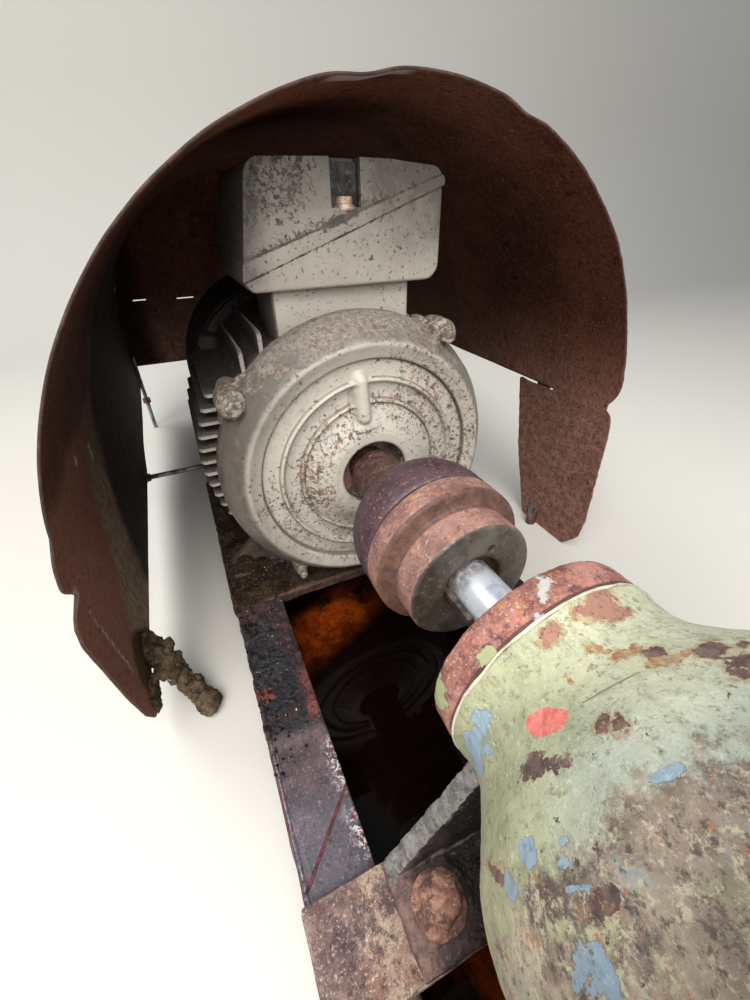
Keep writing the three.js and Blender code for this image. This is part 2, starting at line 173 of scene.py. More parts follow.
sweep = [(3.0, 0.0), (SWEEP_START, 0.0)]
for k in range(1, 13):
    turn = k / 12 * math.pi / 2
    sweep.append((SWEEP_START - SWEEP_R * math.sin(turn), SWEEP_R * (1 - math.cos(turn))))
sweep.append((sweep[-1][0], 3.2))
studio_mesh = bpy.data.meshes.new("studio_sweep")
studio_mesh.from_pydata(
    [(x, y, z) for x, z in sweep for y in (-4.5, 4.5)], [],
    [(2 * k, 2 * k + 1, 2 * k + 3, 2 * k + 2) for k in range(len(sweep) - 1)],
)
studio_mesh.polygons.foreach_set("use_smooth", [True] * len(studio_mesh.polygons))
studio_mesh.materials.append(card)
studio = bpy.data.objects.new("studio_sweep", studio_mesh)
bpy.context.scene.collection.objects.link(studio)


def lamp(name, spot_at, aim, side, power, warmth):
    """A square soft lamp that hangs at one spot and points at another."""
    data = bpy.data.lights.new(name, "AREA")
    data.shape = "SQUARE"
    data.size = side
    data.energy = power
    data.color = warmth
    hung = bpy.data.objects.new(name, data)
    hung.location = spot_at
    hung.rotation_euler = (Vector(aim) - Vector(spot_at)).to_track_quat("-Z", "Y").to_euler()
    bpy.context.scene.collection.objects.link(hung)


lamp("lamp_overhead", (1.15, -0.7, 2.2), (0.1, 0.0, 0.2), 1.8, 86, (1.0, 0.98, 0.95))
lamp("lamp_front", (1.8, -0.36, 1.4), (-0.05, -0.02, 0.2), 1.2, 26, (1.0, 0.99, 0.97))
lamp("lamp_behind", (-1.0, -1.3, 2.3), (0.2, 0.0, 0.25), 1.4, 30, (0.95, 0.97, 1.0))
world = bpy.data.worlds.new("pale_room")
world.use_nodes = True
world.node_tree.nodes["Background"].inputs["Color"].default_value = (0.86, 0.92, 1.0, 1)
world.node_tree.nodes["Background"].inputs["Strength"].default_value = 0.42
bpy.context.scene.world = world
bpy.context.scene.view_settings.view_transform = "Standard"

# BASE RAILS
# Two rolled channels carry the whole set, with their flanges outwards. Old purple-grey paint is
# worn in pale flakes along the top, rusts red at the edges and is black with wet grime by the motor.
# Bright lines of painted highlight run along the outer lip; a painted bluish sheen lies toward the pump.
SHAFT = 217
RAIL_TOP = -152
RAIL_IN = 108
RAIL_OUT = 158
RAIL_END = 530
RAIL_LIP = 0.9


def world_point(x, y, z):
    """A point given in millimetres, with the shaft at height 0, in the frame's metres."""
    return (x / 1000, y / 1000, (z + SHAFT) / 1000)


def eased(corners, radius, spacing, closed=False):
    """A line through the corners, each turned into a curve, with points at a spacing."""
    corners = [Vector(c) for c in corners]
    track = []
    for k, corner in enumerate(corners):
        if not closed and k in (0, len(corners) - 1):
            track.append(corner)
            continue
        before = corners[k - 1] - corner
        after = corners[(k + 1) % len(corners)] - corner
        cut = min(radius, before.length * 0.45, after.length * 0.45)
        a = corner + before.normalized() * cut
        b = corner + after.normalized() * cut
        for t in (0, 0.5, 1) if cut < 1 else (0, 0.25, 0.5, 0.75, 1):
            track.append(a.lerp(corner, t).lerp(corner.lerp(b, t), t))
    if closed:
        track.append(track[0])
    points = [track[0]]
    for a, b in zip(track, track[1:]):
        count = max(1, round((b - a).length / spacing))
        points.extend(a.lerp(b, i / count) for i in range(1, count + 1))
    return points[:-1] if closed else points


def ripple(a, b, c):
    """A smooth random wave from -1 to 1, read at a point."""
    return noise.noise(Vector((a, b, c)))


def roughen(piece, *layers):
    """Pushes the surface in and out along itself; a layer is a lump's size and depth in mm."""
    points = piece.data.vertices
    ways = [point.normal.copy() for point in points]
    for point, way in zip(points, ways):
        push = sum(
            depth * noise.noise(point.co * (1000 / size) + Vector((size, 3, 7))) for size, depth in layers
        )
        point.co += way * (push / 1000)


def place(name, mesh, material, nodes=(), rough=(), body="pump_set", sharp=40):
    """Puts a mesh on a body as a piece that stands for the CAD nodes named, with lumps for rough."""
    mesh.polygons.foreach_set("use_smooth", [True] * len(mesh.polygons))
    mesh.set_sharp_from_angle(angle=math.radians(sharp))
    mesh.materials.clear()
    mesh.materials.append(material)
    piece = bpy.data.objects.new(name, mesh)
    bpy.context.scene.collection.objects.link(piece)
    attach(piece, body)
    if nodes:
        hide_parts(*nodes)
    if rough:
        roughen(piece, *rough)
    return piece


def meshed(name, points, faces):
    """A mesh from points in millimetres and faces, with all faces turned outwards."""
    mesh = bpy.data.meshes.new(name)
    mesh.from_pydata([world_point(*p) for p in points], [], faces)
    bm = bmesh.new()
    bm.from_mesh(mesh)
    bmesh.ops.remove_doubles(bm, verts=bm.verts, dist=1e-6)
    bmesh.ops.recalc_face_normals(bm, faces=bm.faces)
    bm.to_mesh(mesh)
    bm.free()
    return mesh


def loft(name, rings, wrap=True, ends=True):
    """A skin over rings of points, all with the same count; wrap closes each ring."""
    count = len(rings[0])
    faces = []
    for k in range(len(rings) - 1):
        for i in range(count if wrap else count - 1):
            j = (i + 1) % count
            faces.append((k * count + i, k * count + j, (k + 1) * count + j, (k + 1) * count + i))
    if wrap and ends:
        faces.append(tuple(range(count)))
        faces.append(tuple(range((len(rings) - 1) * count, len(rings) * count)))
    return meshed(name, [p for ring in rings for p in ring], faces)


def rust(spot, size, dark="2c1a16", warm="5f3a2b", bright="9a5a35", seed=0.0):
    """Rust in three tones: dark scale, warm bloom and bright grains."""
    base = mottle(spot, dark, warm, 0.40, 0.62, size, 6, 0.65, 0.4, seed)
    return blend(step(cloud(spot, size / 4, 5, 0.7, 0.2, seed + 3), 0.56, 0.74) * 0.75, base, bright)


def speckle(spot, under, size, dark, pale, seed=0.0):
    """Fine dark and pale grains, of about a size in millimetres, scattered over a colour."""
    under = blend(step(cloud(spot, size, 5, 0.78, 0.0, seed + 50), 0.53, 0.63) * 0.75, under, dark)
    return blend(step(cloud(spot, size * 0.8, 5, 0.8, 0.0, seed + 60), 0.55, 0.65) * 0.7, under, pale)


def parts(arrow):
    """The three parts of a point or a direction."""
    return [arrow.node("ShaderNodeSeparateXYZ", {}, {0: arrow}, out=k) for k in range(3)]


def axes(spot):
    """The place along the shaft, to the right and above the shaft, in metres."""
    x, y, z = parts(spot)
    return x, y, z - SHAFT / 1000


def from_shaft(y, z):
    """The distance from the shaft's line."""
    square = y * y + z * z
    return square.math("SQRT", square)


def most(first, *others):
    """The greatest of several masks."""
    for other in others:
        first = first.math("MAXIMUM", first, other)
    return first


def near(value, centre, reach, soft):
    """1 where a value lies within reach of its centre, fading over soft."""
    return step(abs(value - centre), reach + soft, reach)


rail_paint, spot = finish("old_rail_paint")
x, y, z = axes(spot)
out = abs(y)
paint = mottle(spot, "362a2e", "5e4d51", 0.38, 0.62, 16, 7, 0.62, 0.2)
# Painted sheen: the paint is blended to a bluish grey toward the pump end, as the sky's sheen on it.
bluish_sheen = step(x + (cloud(spot, 18, 5, 0.7) - 0.5) * 0.08, 0.165, 0.2)
paint = blend(bluish_sheen * 0.6, paint, "484856")
paint = dab(paint, "2a1d22", 0.7, spot, 0.54, 0.66, 5, 6, 0.75, 0.2, 6)
paint = dab(paint, "6e4038", 0.7, spot, 0.57, 0.65, 2.2, 5, 0.78, 0.1, 8)
paint = speckle(spot, paint, 1.4, "21171b", "93837f")
ragged = (cloud(spot, 5, 6, 0.72) - 0.5) * 0.03
edge_out = step(out + ragged, 0.1555, 0.1585)
edge_in = step(out + ragged, 0.111, 0.108)
side = step(z, -0.1545, -0.158)
rusted = most(edge_out, edge_in * 0.8, side * step(cloud(spot, 22, 6, 0.65), 0.36, 0.5))
rusted = most(rusted, step(cloud(spot, 12, 7, 0.7, 0.3, 9), 0.64, 0.70))
paint = blend(rusted, paint, rust(spot, 4, "33181a", "7a3024", "b85a36"))
paint = blend(side * rusted * 0.85, paint, rust(spot, 7, "2f1e1a", "583a2d", "8c5c42", 3.0))
# Painted highlight: two broken pale lines along the lip and the scored line at the outer edge, where the lip
# catches the light.
lip_highlight_lines = most(near(out, 0.1525, 0.0002, 0.0005) * 0.6, near(out, 0.1549, 0.0003, 0.0005))
lip_highlight_lines = lip_highlight_lines * step(x, 0.12, 0.14) * step(cloud(spot, 5, 6, 0.78, 0.0, 18), 0.44, 0.58)
paint = blend(lip_highlight_lines * 0.6, paint, "9a9aa6")
flaked = most(near(x, 0.168, 0.014, 0.012), near(x, 0.218, 0.008, 0.014)) * step(out, 0.121, 0.111)
paint = blend(flaked * step(cloud(spot, 1.7, 5, 0.78, 0.2, 4), 0.50, 0.56) * 0.9, paint, "cfc6c4")
tar = step(cloud(spot, 30, 6, 0.62, 0.3, 12), 0.62, 0.66) * 0.8
tar = most(tar, step(x + ragged, 0.138, 0.124) * step(out, 0.158, 0.154))
paint = blend(tar, paint, speckle(spot, "141116", 2, "09080b", "4a4046"))
bled = near(x, 0.1, 0.018, 0.012) * step(out + ragged * 0.7, 0.122, 0.113)
bled_rust = mottle(spot, "451c1a", "8e4a3c", 0.44, 0.6, 2.4, 5, 0.78, 0.0, 26)
paint = blend(bled * 0.85, paint, speckle(spot, bled_rust, 1.5, "1c1012", "a88478", 16.0))
scar = (y + 0.1075) - (x - 0.185) * -0.945
scar = scar + (cloud(spot, 3, 4, 0.7) - 0.5) * 0.0012
scar = near(scar, 0.0, 0.0009, 0.0009) * near(x, 0.2095, 0.0245, 0.002) * step(y, -0.104, -0.106)
paint = blend(scar, paint, mottle(spot, "3a1014", "6a1e20", 0.4, 0.6, 2, 4))
height = cloud(spot, 4, 8, 0.75) * 1.0 + tar * cloud(spot, 3, 5, 0.75, 0.0, 3) * 1.6
height = height + rusted * cloud(spot, 1.6, 4, 0.7)
coat(rail_paint, paint, 0.5 - tar * 0.15 + rusted * 0.25, 0.0, height - scar * 0.8, 0.9)


def rail_lift(y, z):
    """The raised lip and the scored line along the outer edge of a rail's top."""
    if z < RAIL_TOP - 2:
        return 0.0
    lip = math.exp(-((abs(y) - RAIL_OUT + 2.6) / 1.3) ** 2)
    line = math.exp(-((abs(y) - RAIL_OUT + 6.2) / 0.9) ** 2)
    return RAIL_LIP * (lip - 0.8 * line)


for side_name, s in (("left", -1), ("right", 1)):
    channel = eased([
        (s * RAIL_IN, -SHAFT), (s * RAIL_OUT, -SHAFT), (s * RAIL_OUT, -SHAFT + 8),
        (s * (RAIL_IN + 6), -SHAFT + 8), (s * (RAIL_IN + 6), RAIL_TOP - 8),
        (s * RAIL_OUT, RAIL_TOP - 8), (s * RAIL_OUT, RAIL_TOP), (s * RAIL_IN, RAIL_TOP),
    ], 1.8, 1.6, closed=True)
    fine_to = RAIL_TOP - 11 if s < 0 else 0
    channel = [p for k, p in enumerate(channel) if p[1] > fine_to or k % 4 == 0]
    rings = []
    for k in range(-RAIL_END, RAIL_END + 1, 5):
        rings.append([(k, p[0], p[1] + rail_lift(*p)) for p in channel])
    rail = place(
        f"rail_{side_name}_channel", loft(f"rail_{side_name}", rings), rail_paint,
        [f"rail_{side_name}"],
    )
    for point in rail.data.vertices:
        mm = point.co * 1000
        if mm.z > SHAFT + RAIL_TOP - 9:
            point.co.z += 0.0004 * noise.noise(mm / 17) + 0.0002 * noise.noise(mm / 4)
            if abs(mm.y) > RAIL_OUT - 4:
                point.co.y += s * (0.0009 * noise.noise(mm / 14.32) - 0.0006)


def dress(node, material, bevel=1.0, sharp=35):
    """Gives a CAD node its finish and takes the keenness off its edges."""
    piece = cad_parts[node]
    piece.data.materials.clear()
    piece.data.materials.append(material)
    piece.data.polygons.foreach_set("use_smooth", [True] * len(piece.data.polygons))
    piece.data.set_sharp_from_angle(angle=math.radians(sharp))
    soften = piece.modifiers.new("edges", "BEVEL")
    soften.width = bevel / 1000
    soften.segments = 2
    soften.limit_method = "ANGLE"
    soften.angle_limit = math.radians(sharp)
    soften.harden_normals = True


for node in ("end_plate_motor", "end_plate_pump", "base_pan"):
    dress(node, rail_paint, 1.5)

# CROSS PLATES
# Four flame-cut plates are welded across the rails under the motor's feet and the pump's feet.
# Their brown mill scale is stained with mud and pale lime, and rusts where it was cut.
PLATE_WAVE = 0.8

plate_crust, spot = finish("stained_plate")
x, y, z = axes(spot)
light_half = step(abs(y) + (cloud(spot, 14, 6, 0.72) - 0.5) * 0.06, 0.137, 0.118)
base = mottle(spot, "5b4a48", "8a736c", 0.40, 0.60, 12, 7, 0.68, 0.2)
base = blend(light_half * 0.7, base, mottle(spot, "8e6856", "b9a58f", 0.42, 0.58, 8, 6, 0.75))
base = dab(base, "7e4f40", 0.8, spot, 0.55, 0.64, 5, 7, 0.76, 0.3, 7)
base = dab(base, "4a3e42", 0.8, spot, 0.56, 0.62, 16, 6, 0.7, 0.2, 11)
base = speckle(spot, base, 2.2, "433230", "c4ab94", 3.0)
base = blend(light_half * step(cloud(spot, 2.6, 5, 0.78, 0.0, 21), 0.555, 0.63) * 0.8, base, "cbbda6")
base = speckle(spot, base, 1.2, "3a2c28", "cdbcb0", 7.0)
mud = step(x + cloud(spot, 20, 4) * 0.06, 0.12, 0.04)
base = blend(
    mud * 0.94, base,
    speckle(spot, mottle(spot, "140d0a", "36271b", 0.4, 0.66, 3, 5, 0.75), 1.6, "0f0a08", "7c664c"),
)
front_lip = near(x + (cloud(spot, 5, 6, 0.75) - 0.5) * 0.012, -0.017, 0.0008, 0.003) * step(y, -0.14, -0.10)
base = blend(front_lip * 0.6, base, speckle(spot, "6e5242", 1.6, "2a1c16", "a88c74", 5.0))
height = cloud(spot, 3.5, 7, 0.75) + mud * cloud(spot, 3, 6, 0.75, 0.0, 2) * 1.5
coat(plate_crust, base, 0.8, 0.0, height, 0.9, Specular_IOR_Level=0.2)

for node in ("motor_plate_front", "motor_plate_rear", "pump_plate_front", "pump_plate_rear"):
    low, high = [Vector(corner) * 1000 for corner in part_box(node)]
    low.z -= SHAFT
    high.z -= SHAFT
    corners = [(low.y, low.z), (high.y, low.z), (high.y, high.z), (low.y, high.z)]
    section = eased(corners, 1.5, 3, closed=True)
    middle = (low.y + high.y) / 2, (low.z + high.z) / 2
    rings = []
    count = round((high.x - low.x) / 3)
    for k in range(count + 1):
        tuck = 1.0 if k in (0, count) else 0.0
        ring = []
        for p in section:
            wave = PLATE_WAVE * (ripple(0, p[0] / 22, low.x) - 0.6)
            along = low.x + (high.x - low.x) * k / count
            along += -wave if k < count / 2 else wave
            tucked = [p[n] - (tuck if p[n] > middle[n] else -tuck) for n in (0, 1)]
            ring.append((along, *tucked))
        rings.append(ring)
    place(
        f"{node}_steel", loft(node, rings), plate_crust, [node], rough=[(14, 0.35), (4, 0.2)],
    )

# WATER
# Still, tea-black water stands in the pan between the rails. Rust sludge under it glows orange
# where it is shallow, by the motor's plate and under the pump's foot.
WATER_TOP = -199
WATER_END = 529
WATER_SIDE = 107
WATER_BED = -211.5

water_finish, spot = finish("rusty_water")
x, y, z = axes(spot)
glow = near(x + y * 0.45, -0.031, 0.013, 0.036) * step(y, 0.03, -0.04)
glow = glow * step(cloud(spot, 26, 5, 0.66, 0.5), 0.34, 0.62)
glow = most(glow, near(x, 0.36, 0.05, 0.06) * step(cloud(spot, 40, 5, 0.65, 0.6, 4), 0.40, 0.62) * 0.7)
amber = mottle(spot, "641f08", "8c3c0b", 0.38, 0.62, 9, 6, 0.75, 0.4, 7)
sludge = blend(glow * 0.72, "0a0402", speckle(spot, amber, 3, "501a08", "8a5a1c"))
coat(water_finish, sludge, 0.03, 0.0, cloud(spot, 70, 2, 0.4), 0.05, IOR=1.3, Specular_IOR_Level=0.3)

rings = []
for k in range(-WATER_END, WATER_END + 1, 12):
    across = range(-WATER_SIDE, WATER_SIDE + 1, 6)
    bank = [(k, y, WATER_TOP + 0.12 * ripple(k / 30, y / 30, 0)) for y in across]
    rings.append(bank + [(k, WATER_SIDE - 0.1, WATER_BED), (k, -WATER_SIDE, WATER_BED)])
place("pan_water", loft("pan_water", rings), water_finish)

# MOTOR FRAME
# A ribbed iron barrel on four cast feet, with ears that take the shields' bolts. The thin fins
# run between two plain bands, and the feet are buried in dark, gritty mud.
FRAME_R = 128
FRAME_FRONT = -42
FRAME_REAR = -270
FOOT_X = (-80, -252)
PLATE_TOP = -142
LUG_ANGLES = (55, 145, 235, 325)


def filled(name, fill, soft=None):
    """A mesh of the shapes that fill(bm) makes in mm from the shaft line; soft rounds their edges."""
    bm = bmesh.new()
    fill(bm)
    if soft is not None:
        bmesh.ops.bevel(bm, geom=bm.edges[:], offset=soft, segments=2, affect="EDGES", clamp_overlap=True)
    mesh = bpy.data.meshes.new(name)
    bm.to_mesh(mesh)
    bm.free()
    mesh.transform(Matrix.Translation((0, 0, SHAFT / 1000)) @ Matrix.Scale(0.001, 4))
    return mesh


def held(mesh):
    """A plain holder for a mesh, to work on it with modifiers."""
    holder = bpy.data.objects.new("holder", mesh)
    bpy.context.scene.collection.objects.link(holder)
    return holder


def settled(holder):
    """The mesh that the holder's modifiers give; the holder is cleared away."""
    bpy.context.view_layer.update()
    seen = holder.evaluated_get(bpy.context.evaluated_depsgraph_get())
    mesh = bpy.data.meshes.new_from_object(seen)
    bpy.data.objects.remove(holder)
    return mesh


def casting(name, cell, soften, lumps):
    """Fuses closed lumps into one skin with small fillets, as a foundry pattern would."""
    holder = held(filled(name, lumps))
    fuse = holder.modifiers.new("fuse", "REMESH")
    fuse.mode = "VOXEL"
    fuse.voxel_size = cell / 1000
    relax = holder.modifiers.new("relax", "SMOOTH")
    relax.factor = 0.5
    relax.iterations = soften
    return settled(holder)


def block(bm, x0, x1, y0, y1, z0, z1):
    """A plain block between two corners, in millimetres from the shaft line."""
    middle = Matrix.Translation(((x0 + x1) / 2, (y0 + y1) / 2, (z0 + z1) / 2))
    size = Matrix.Diagonal((x1 - x0, y1 - y0, z1 - z0, 1))
    return bmesh.ops.create_cube(bm, size=1, matrix=middle @ size)["verts"]


def rod(bm, start, end, radius, sides=48, tip=None):
    """A round bar from one point to another; tip is its radius at the end."""
    start, end = Vector(start), Vector(end)
    run = end - start
    turn = run.to_track_quat("Z", "Y").to_matrix().to_4x4()
    return bmesh.ops.create_cone(
        bm, cap_ends=True, segments=sides, radius1=radius, radius2=radius if tip is None else tip,
        depth=run.length, matrix=Matrix.Translation((start + end) / 2) @ turn,
    )["verts"]


def prism(bm, outline, axis, low, high):
    """An outline carried along an axis: (y, z) along x, (x, z) along y or (x, y) along z."""
    spots = {
        "x": lambda a, b, c: (c, a, b),
        "y": lambda a, b, c: (a, c, b),
        "z": lambda a, b, c: (a, b, c),
    }[axis]
    under = [bm.verts.new(spots(p[0], p[1], low)) for p in outline]
    over = [bm.verts.new(spots(p[0], p[1], high)) for p in outline]
    faces = [bm.faces.new(under), bm.faces.new(over)]
    for k in range(len(outline)):
        j = (k + 1) % len(outline)
        faces.append(bm.faces.new((under[k], under[j], over[j], over[k])))
    bmesh.ops.recalc_face_normals(bm, faces=faces)


def around(angle, radius):
    """The (y, z) place at an angle in degrees, from the right, and a radius about the shaft."""
    return radius * math.cos(math.radians(angle)), radius * math.sin(math.radians(angle))


def motor_paint(name, chips, dust, seed, inside=0.0, bare=("4e3c34", "84594b"), painted_shading=None):
    """Grey-beige enamel. It takes the crowding of its chips, its dust, how much painted shade and mud it gets
    further in, and a painted shading.
    """
    material, spot = finish(name)
    x, y, z = axes(spot)
    ahead, sideways, upward = parts(spot.node("ShaderNodeTexCoord", out=1))
    enamel = blend(cloud(spot, 30, 4, 0.55, 0.0, seed), "a59f93", "bcb5a9")
    enamel = dab(enamel, "968e82", 0.4, spot, 0.48, 0.70, 5, 6, 0.72, 0.3, seed + 1)
    # The painted shading darkens the enamel where shade falls on it.
    if painted_shading:
        painted_shade = painted_shading(y, z, sideways) * (cloud(spot, 9, 5, 0.7, 0.0, seed + 11) + 0.5)
        enamel = blend(painted_shade, enamel, "5a544c")
    crowd = chips(y, z, spot) if callable(chips) else cloud(spot, 25, 3, 0.5, 0.0, seed + 2) * chips
    fine = step(cloud(spot, 1.7, 4, 0.7, 0.3, seed + 3) + crowd * 0.15, 0.655, 0.68)
    coarse = step(cloud(spot, 3.6, 6, 0.75, 0.4, seed + 4) + crowd * 0.16, 0.675, 0.70)
    dots = step(cloud(spot, 2.6, 2, 0.5, 0.0, seed + 12), 0.715, 0.735)
    thread = cloud(spot, 7, 3, 0.6, 1.2, seed + 7)
    curls = near(thread, 0.5, 0.006, 0.005) * step(crowd + cloud(spot, 6, 3, 0.5, 0.0, seed + 8), 0.92, 1.06)
    chipped = most(fine, coarse, curls * 0.8, dots)
    under = mottle(spot, bare[0], bare[1], 0.42, 0.54, 5, 4, 0.6, 0.0, seed + 5)
    under = blend(most(dots, step(cloud(spot, 8, 4, 0.7, 0.0, seed + 13), 0.54, 0.58)) * 0.8, under, "3d3732")
    colour = blend(chipped * 0.9, enamel, under)
    grit = mottle(spot, "5c534b", "8d8379", 0.36, 0.62, 1.6, 5, 0.8)
    grit = dab(grit, "5f473e", 0.7, spot, 0.55, 0.62, 6, 5, 0.7, 0.0, seed + 9)
    outer = step(y * y + z * z, 0.0141, 0.0149)
    dirt = step(upward + (cloud(spot, 7, 7, 0.74, 0.0, seed + 6) - 0.5) * 1.7, 0.55, 0.72) * outer * dust
    colour = blend(dirt, colour, grit)
    # Painted shade: darker further back under the hood and at the fan end, where the hood shades the paint;
    # faces turned forward are left lighter, as lit edges.
    deep = step(x + (cloud(spot, 12, 4) - 0.5) * 0.03, -0.05, -0.1) * (1 - step(ahead, 0.06, 0.25))
    deep = most(deep, step(x, -0.2, -0.235)) * inside
    colour = blend(deep * 0.9, colour, mottle(spot, "181210", "362b25", 0.4, 0.6, 4, 5, 0.7, 0.0, 2))
    low_mud = step(z + (cloud(spot, 12, 5, 0.65, 0.0, 4) - 0.5) * 0.05, -0.06, -0.088) * inside
    muck = speckle(spot, blend(cloud(spot, 6, 5, 0.75, 0.0, 3), "1c1411", "463528"), 1.6, "120d0b", "75634f")
    colour = blend(low_mud * 0.96, colour, muck)
    height = 0.5 * cloud(spot, 3, 5, 0.6) + dirt * cloud(spot, 1.3, 4, 0.8) * 1.1 - chipped * 0.4
    height = height + low_mud * cloud(spot, 3, 5, 0.75, 0.0, 8) * 2.2
    coat(material, colour, 0.46 + chipped * 0.3 + dirt * 0.4 + most(low_mud, deep) * 0.35, 0.0, height, 0.5)
    return material


# The frame's paint is painted darker further back, as the hood's shade.
frame_paint = motor_paint("frame_paint", 0.6, 0.9, 10, 1.0)


def barrel(bm):
    rod(bm, (FRAME_REAR, 0, 0), (FRAME_FRONT, 0, 0), FRAME_R, 96)
    rod(bm, (-76, 0, 0), (FRAME_FRONT, 0, 0), FRAME_R + 2, 96)
    rod(bm, (FRAME_REAR, 0, 0), (-244, 0, 0), FRAME_R + 2, 96)
    for angle in LUG_ANGLES:
        for near_x, far_x in ((-74, FRAME_FRONT), (FRAME_REAR, -240)):
            rod(bm, (near_x, *around(angle, 138)), (far_x, *around(angle, 138)), 11, 24)
    for x in FOOT_X:
        for s in (-1, 1):
            low, high = sorted((s * 84, s * 152))
            block(bm, x - 26, x + 26, low, high, PLATE_TOP + 0.5, PLATE_TOP + 14)
            web = [
                (s * 84, -60), (s * 112, -60), (s * 122, -102), (s * 150, -128), (s * 150, -141),
                (s * 84, -141),
            ]
            prism(bm, web, "x", x - 7, x + 7)
            prism(bm, [(s * 84, -60), (s * 110, -64), (s * 116, -112), (s * 84, -141)], "x", x - 22, x + 22)


place(
    "motor_barrel", casting("motor_barrel", 4, 3, barrel), frame_paint, ["motor_frame"],
    rough=[(18, 0.5), (5, 0.3)],
)

FIN_PITCH = 13.2
FIN_R = 152


def fin_pair(bm, across, upright):
    """Two thin fins: level ones at a height, or upright ones at a distance to each side."""
    tip = math.sqrt((FIN_R - 8 * upright) ** 2 - across ** 2)
    root = 60 if upright else 95
    outline = [(-241, root), (-75, root), (-75, tip - 3), (-79, tip), (-224, tip), (-240, tip - 15)]
    for s in (-1, 1):
        if upright:
            prism(bm, outline, "y", s * across - 1.7, s * across + 1.7)
        else:
            prism(bm, [(a, s * b) for a, b in outline], "z", across - 1.7, across + 1.7)


def all_fins(bm):
    for k in range(12):
        fin_pair(bm, 71.5 - FIN_PITCH * k, False)
    for across in (76, 95):
        fin_pair(bm, across, True)
    for across in (16, 48):
        for s in (-1, 1):
            block(bm, -240, -76, s * across - 1.6, s * across + 1.6, -134, -100)


place("cooling_fins", filled("cooling_fins", all_fins, 0.8), frame_paint, rough=[(25, 0.7)])

# DRIVE-END SHIELD
# A domed iron cover, turned in steps round the shaft hole, with a moulded rib above the hub and
# four bolt lugs. Brown chips crowd its lower left, along the steps and round the hub.
HUB_HOLE_R = 32.4
RIB_Y = -7.5
RIB_R = 7.4
SHIELD_STEPS = [
    (19.5, -41.6), (19.5, -14), (HUB_HOLE_R, -14), (HUB_HOLE_R, 5.0), (34, 6.6), (41, 6.4), (46, 4.8),
    (52, 1.2), (58, -2.2), (63, -4.6), (66.8, -6.0), (67.6, -3.6), (68.8, -2.6), (70.2, -3.4), (71.0, -7.4),
    (78, -8.4), (85.2, -8.2), (86.2, -4.4), (87.6, -2.8), (89.2, -3.4), (90.2, -6.6), (93, -7.0),
    (99, -7.2), (104.6, -7.6), (105.6, -8.8), (106.2, -8.4), (106.8, -4.0), (107.8, -2.8), (115, -0.6),
    (118, 0.3), (120, -0.4), (125, -4.8), (131, -12), (137, -22), (140, -31), (140, -41.6),
]


def spun_rings(profile, sides):
    """Rings of points for a (radius, x) profile turned about the shaft line."""
    rings = []
    for r, x in profile:
        rings.append([(x, *around(360 * k / sides, r)) for k in range(sides)])
    return rings


def turned(name, profile, sides):
    """A skin made by turning a (radius, x) profile about the shaft line."""
    return loft(name, spun_rings(profile, sides), ends=False)


def shield_chips(y, z, spot):
    """More chips round the hub, to the lower left and along the right, few on the dome's side."""
    radius = from_shaft(y, z)
    patches = cloud(spot, 16, 4, 0.6, 0.3, 21)
    hub = near(radius, 0.059, 0.008, 0.014) * step(y * 0.9 - z, 0.05, -0.06) * 0.46
    low = near(radius, 0.085, 0.022, 0.02) * step(z + y * 0.35, 0.0, -0.06) * 0.3
    right = near(radius, 0.098, 0.024, 0.02) * step(y, 0.01, 0.05) * 0.42
    side = step(radius, 0.119, 0.125)
    bore = step(radius, 0.0326, 0.0322) * 4
    ribbed = near(y, RIB_Y / 1000, 0.008, 0.003) * step(z, 0.044, 0.05)
    crowd = (hub + low + right) * (patches + 0.35) + patches * 0.62 * (1 - side * 0.4)
    return crowd * (1 - ribbed * 0.6) + bore


def shield_painted_shade(y, z, sideways):
    """Painted shade: darker over the dome's side and its upper and left outer band, where the hood shades it,
    thin dark lines of painted shade in the corners of the turned steps, and a painted shadow beside the rib.
    """
    radius = from_shaft(y, z)
    lines = most(near(radius, 0.1062, 0.0003, 0.0009), near(radius, 0.0712, 0.0002, 0.0008))
    lines = most(lines, near(radius, 0.0904, 0.0002, 0.0008), near(radius, 0.067, 0.0002, 0.0008) * 0.7)
    outward = step(y, -0.03, -0.11) * 0.4 + step(z, 0.03, 0.11) * 0.3
    flank = step(radius, 0.1195, 0.124) * 0.54 + step(radius, 0.104, 0.116) * outward
    rib = near(y, RIB_Y / 1000, 0.0105, 0.001) * step(z, 0.046, 0.049) * step(z, 0.108, 0.1)
    shade = near(y, RIB_Y / 1000 - 0.0095, 0.0015, 0.003) * step(z, 0.05, 0.056) * step(z, 0.092, 0.08)
    return flank + lines * 0.75 * (1 - rib) + shade * 0.3


# The shield's enamel takes this painted shade.
shield_paint = motor_paint("shield_paint", shield_chips, 1.0, 20, painted_shading=shield_painted_shade)


def shield_face(x, y, z):
    """How far the rib and the small hub boss stand out of the turned steps."""
    if x < -12 or math.hypot(y, z) < 44:
        return x
    half = RIB_R - 0.03 * max(0, z - 56)
    away = math.hypot((y - RIB_Y) / half, max(0, 58 - z) / 8)
    crest = 6.4 - 0.15 * max(0, z - 56) - 0.9 * max(0, z - 90)
    rib = crest - 7 * away ** 3
    boss = -2.4 - 5 * max(0.0, math.hypot(y + 54, z - 3) / 5.5 - 0.8) ** 2
    return max(x, rib, boss)


rings = spun_rings(eased(SHIELD_STEPS[:4], 0.7, 6) + eased(SHIELD_STEPS[4:], 0.7, 1.3), 240)
rings = [[(shield_face(*p), p[1], p[2]) for p in ring] for ring in rings]
rings.append(rings[0])
place(
    "shield_turned", loft("shield_turned", rings, ends=False), shield_paint,
    ["shield_drive_end"], rough=[(16, 0.3), (4, 0.1)], sharp=60,
)

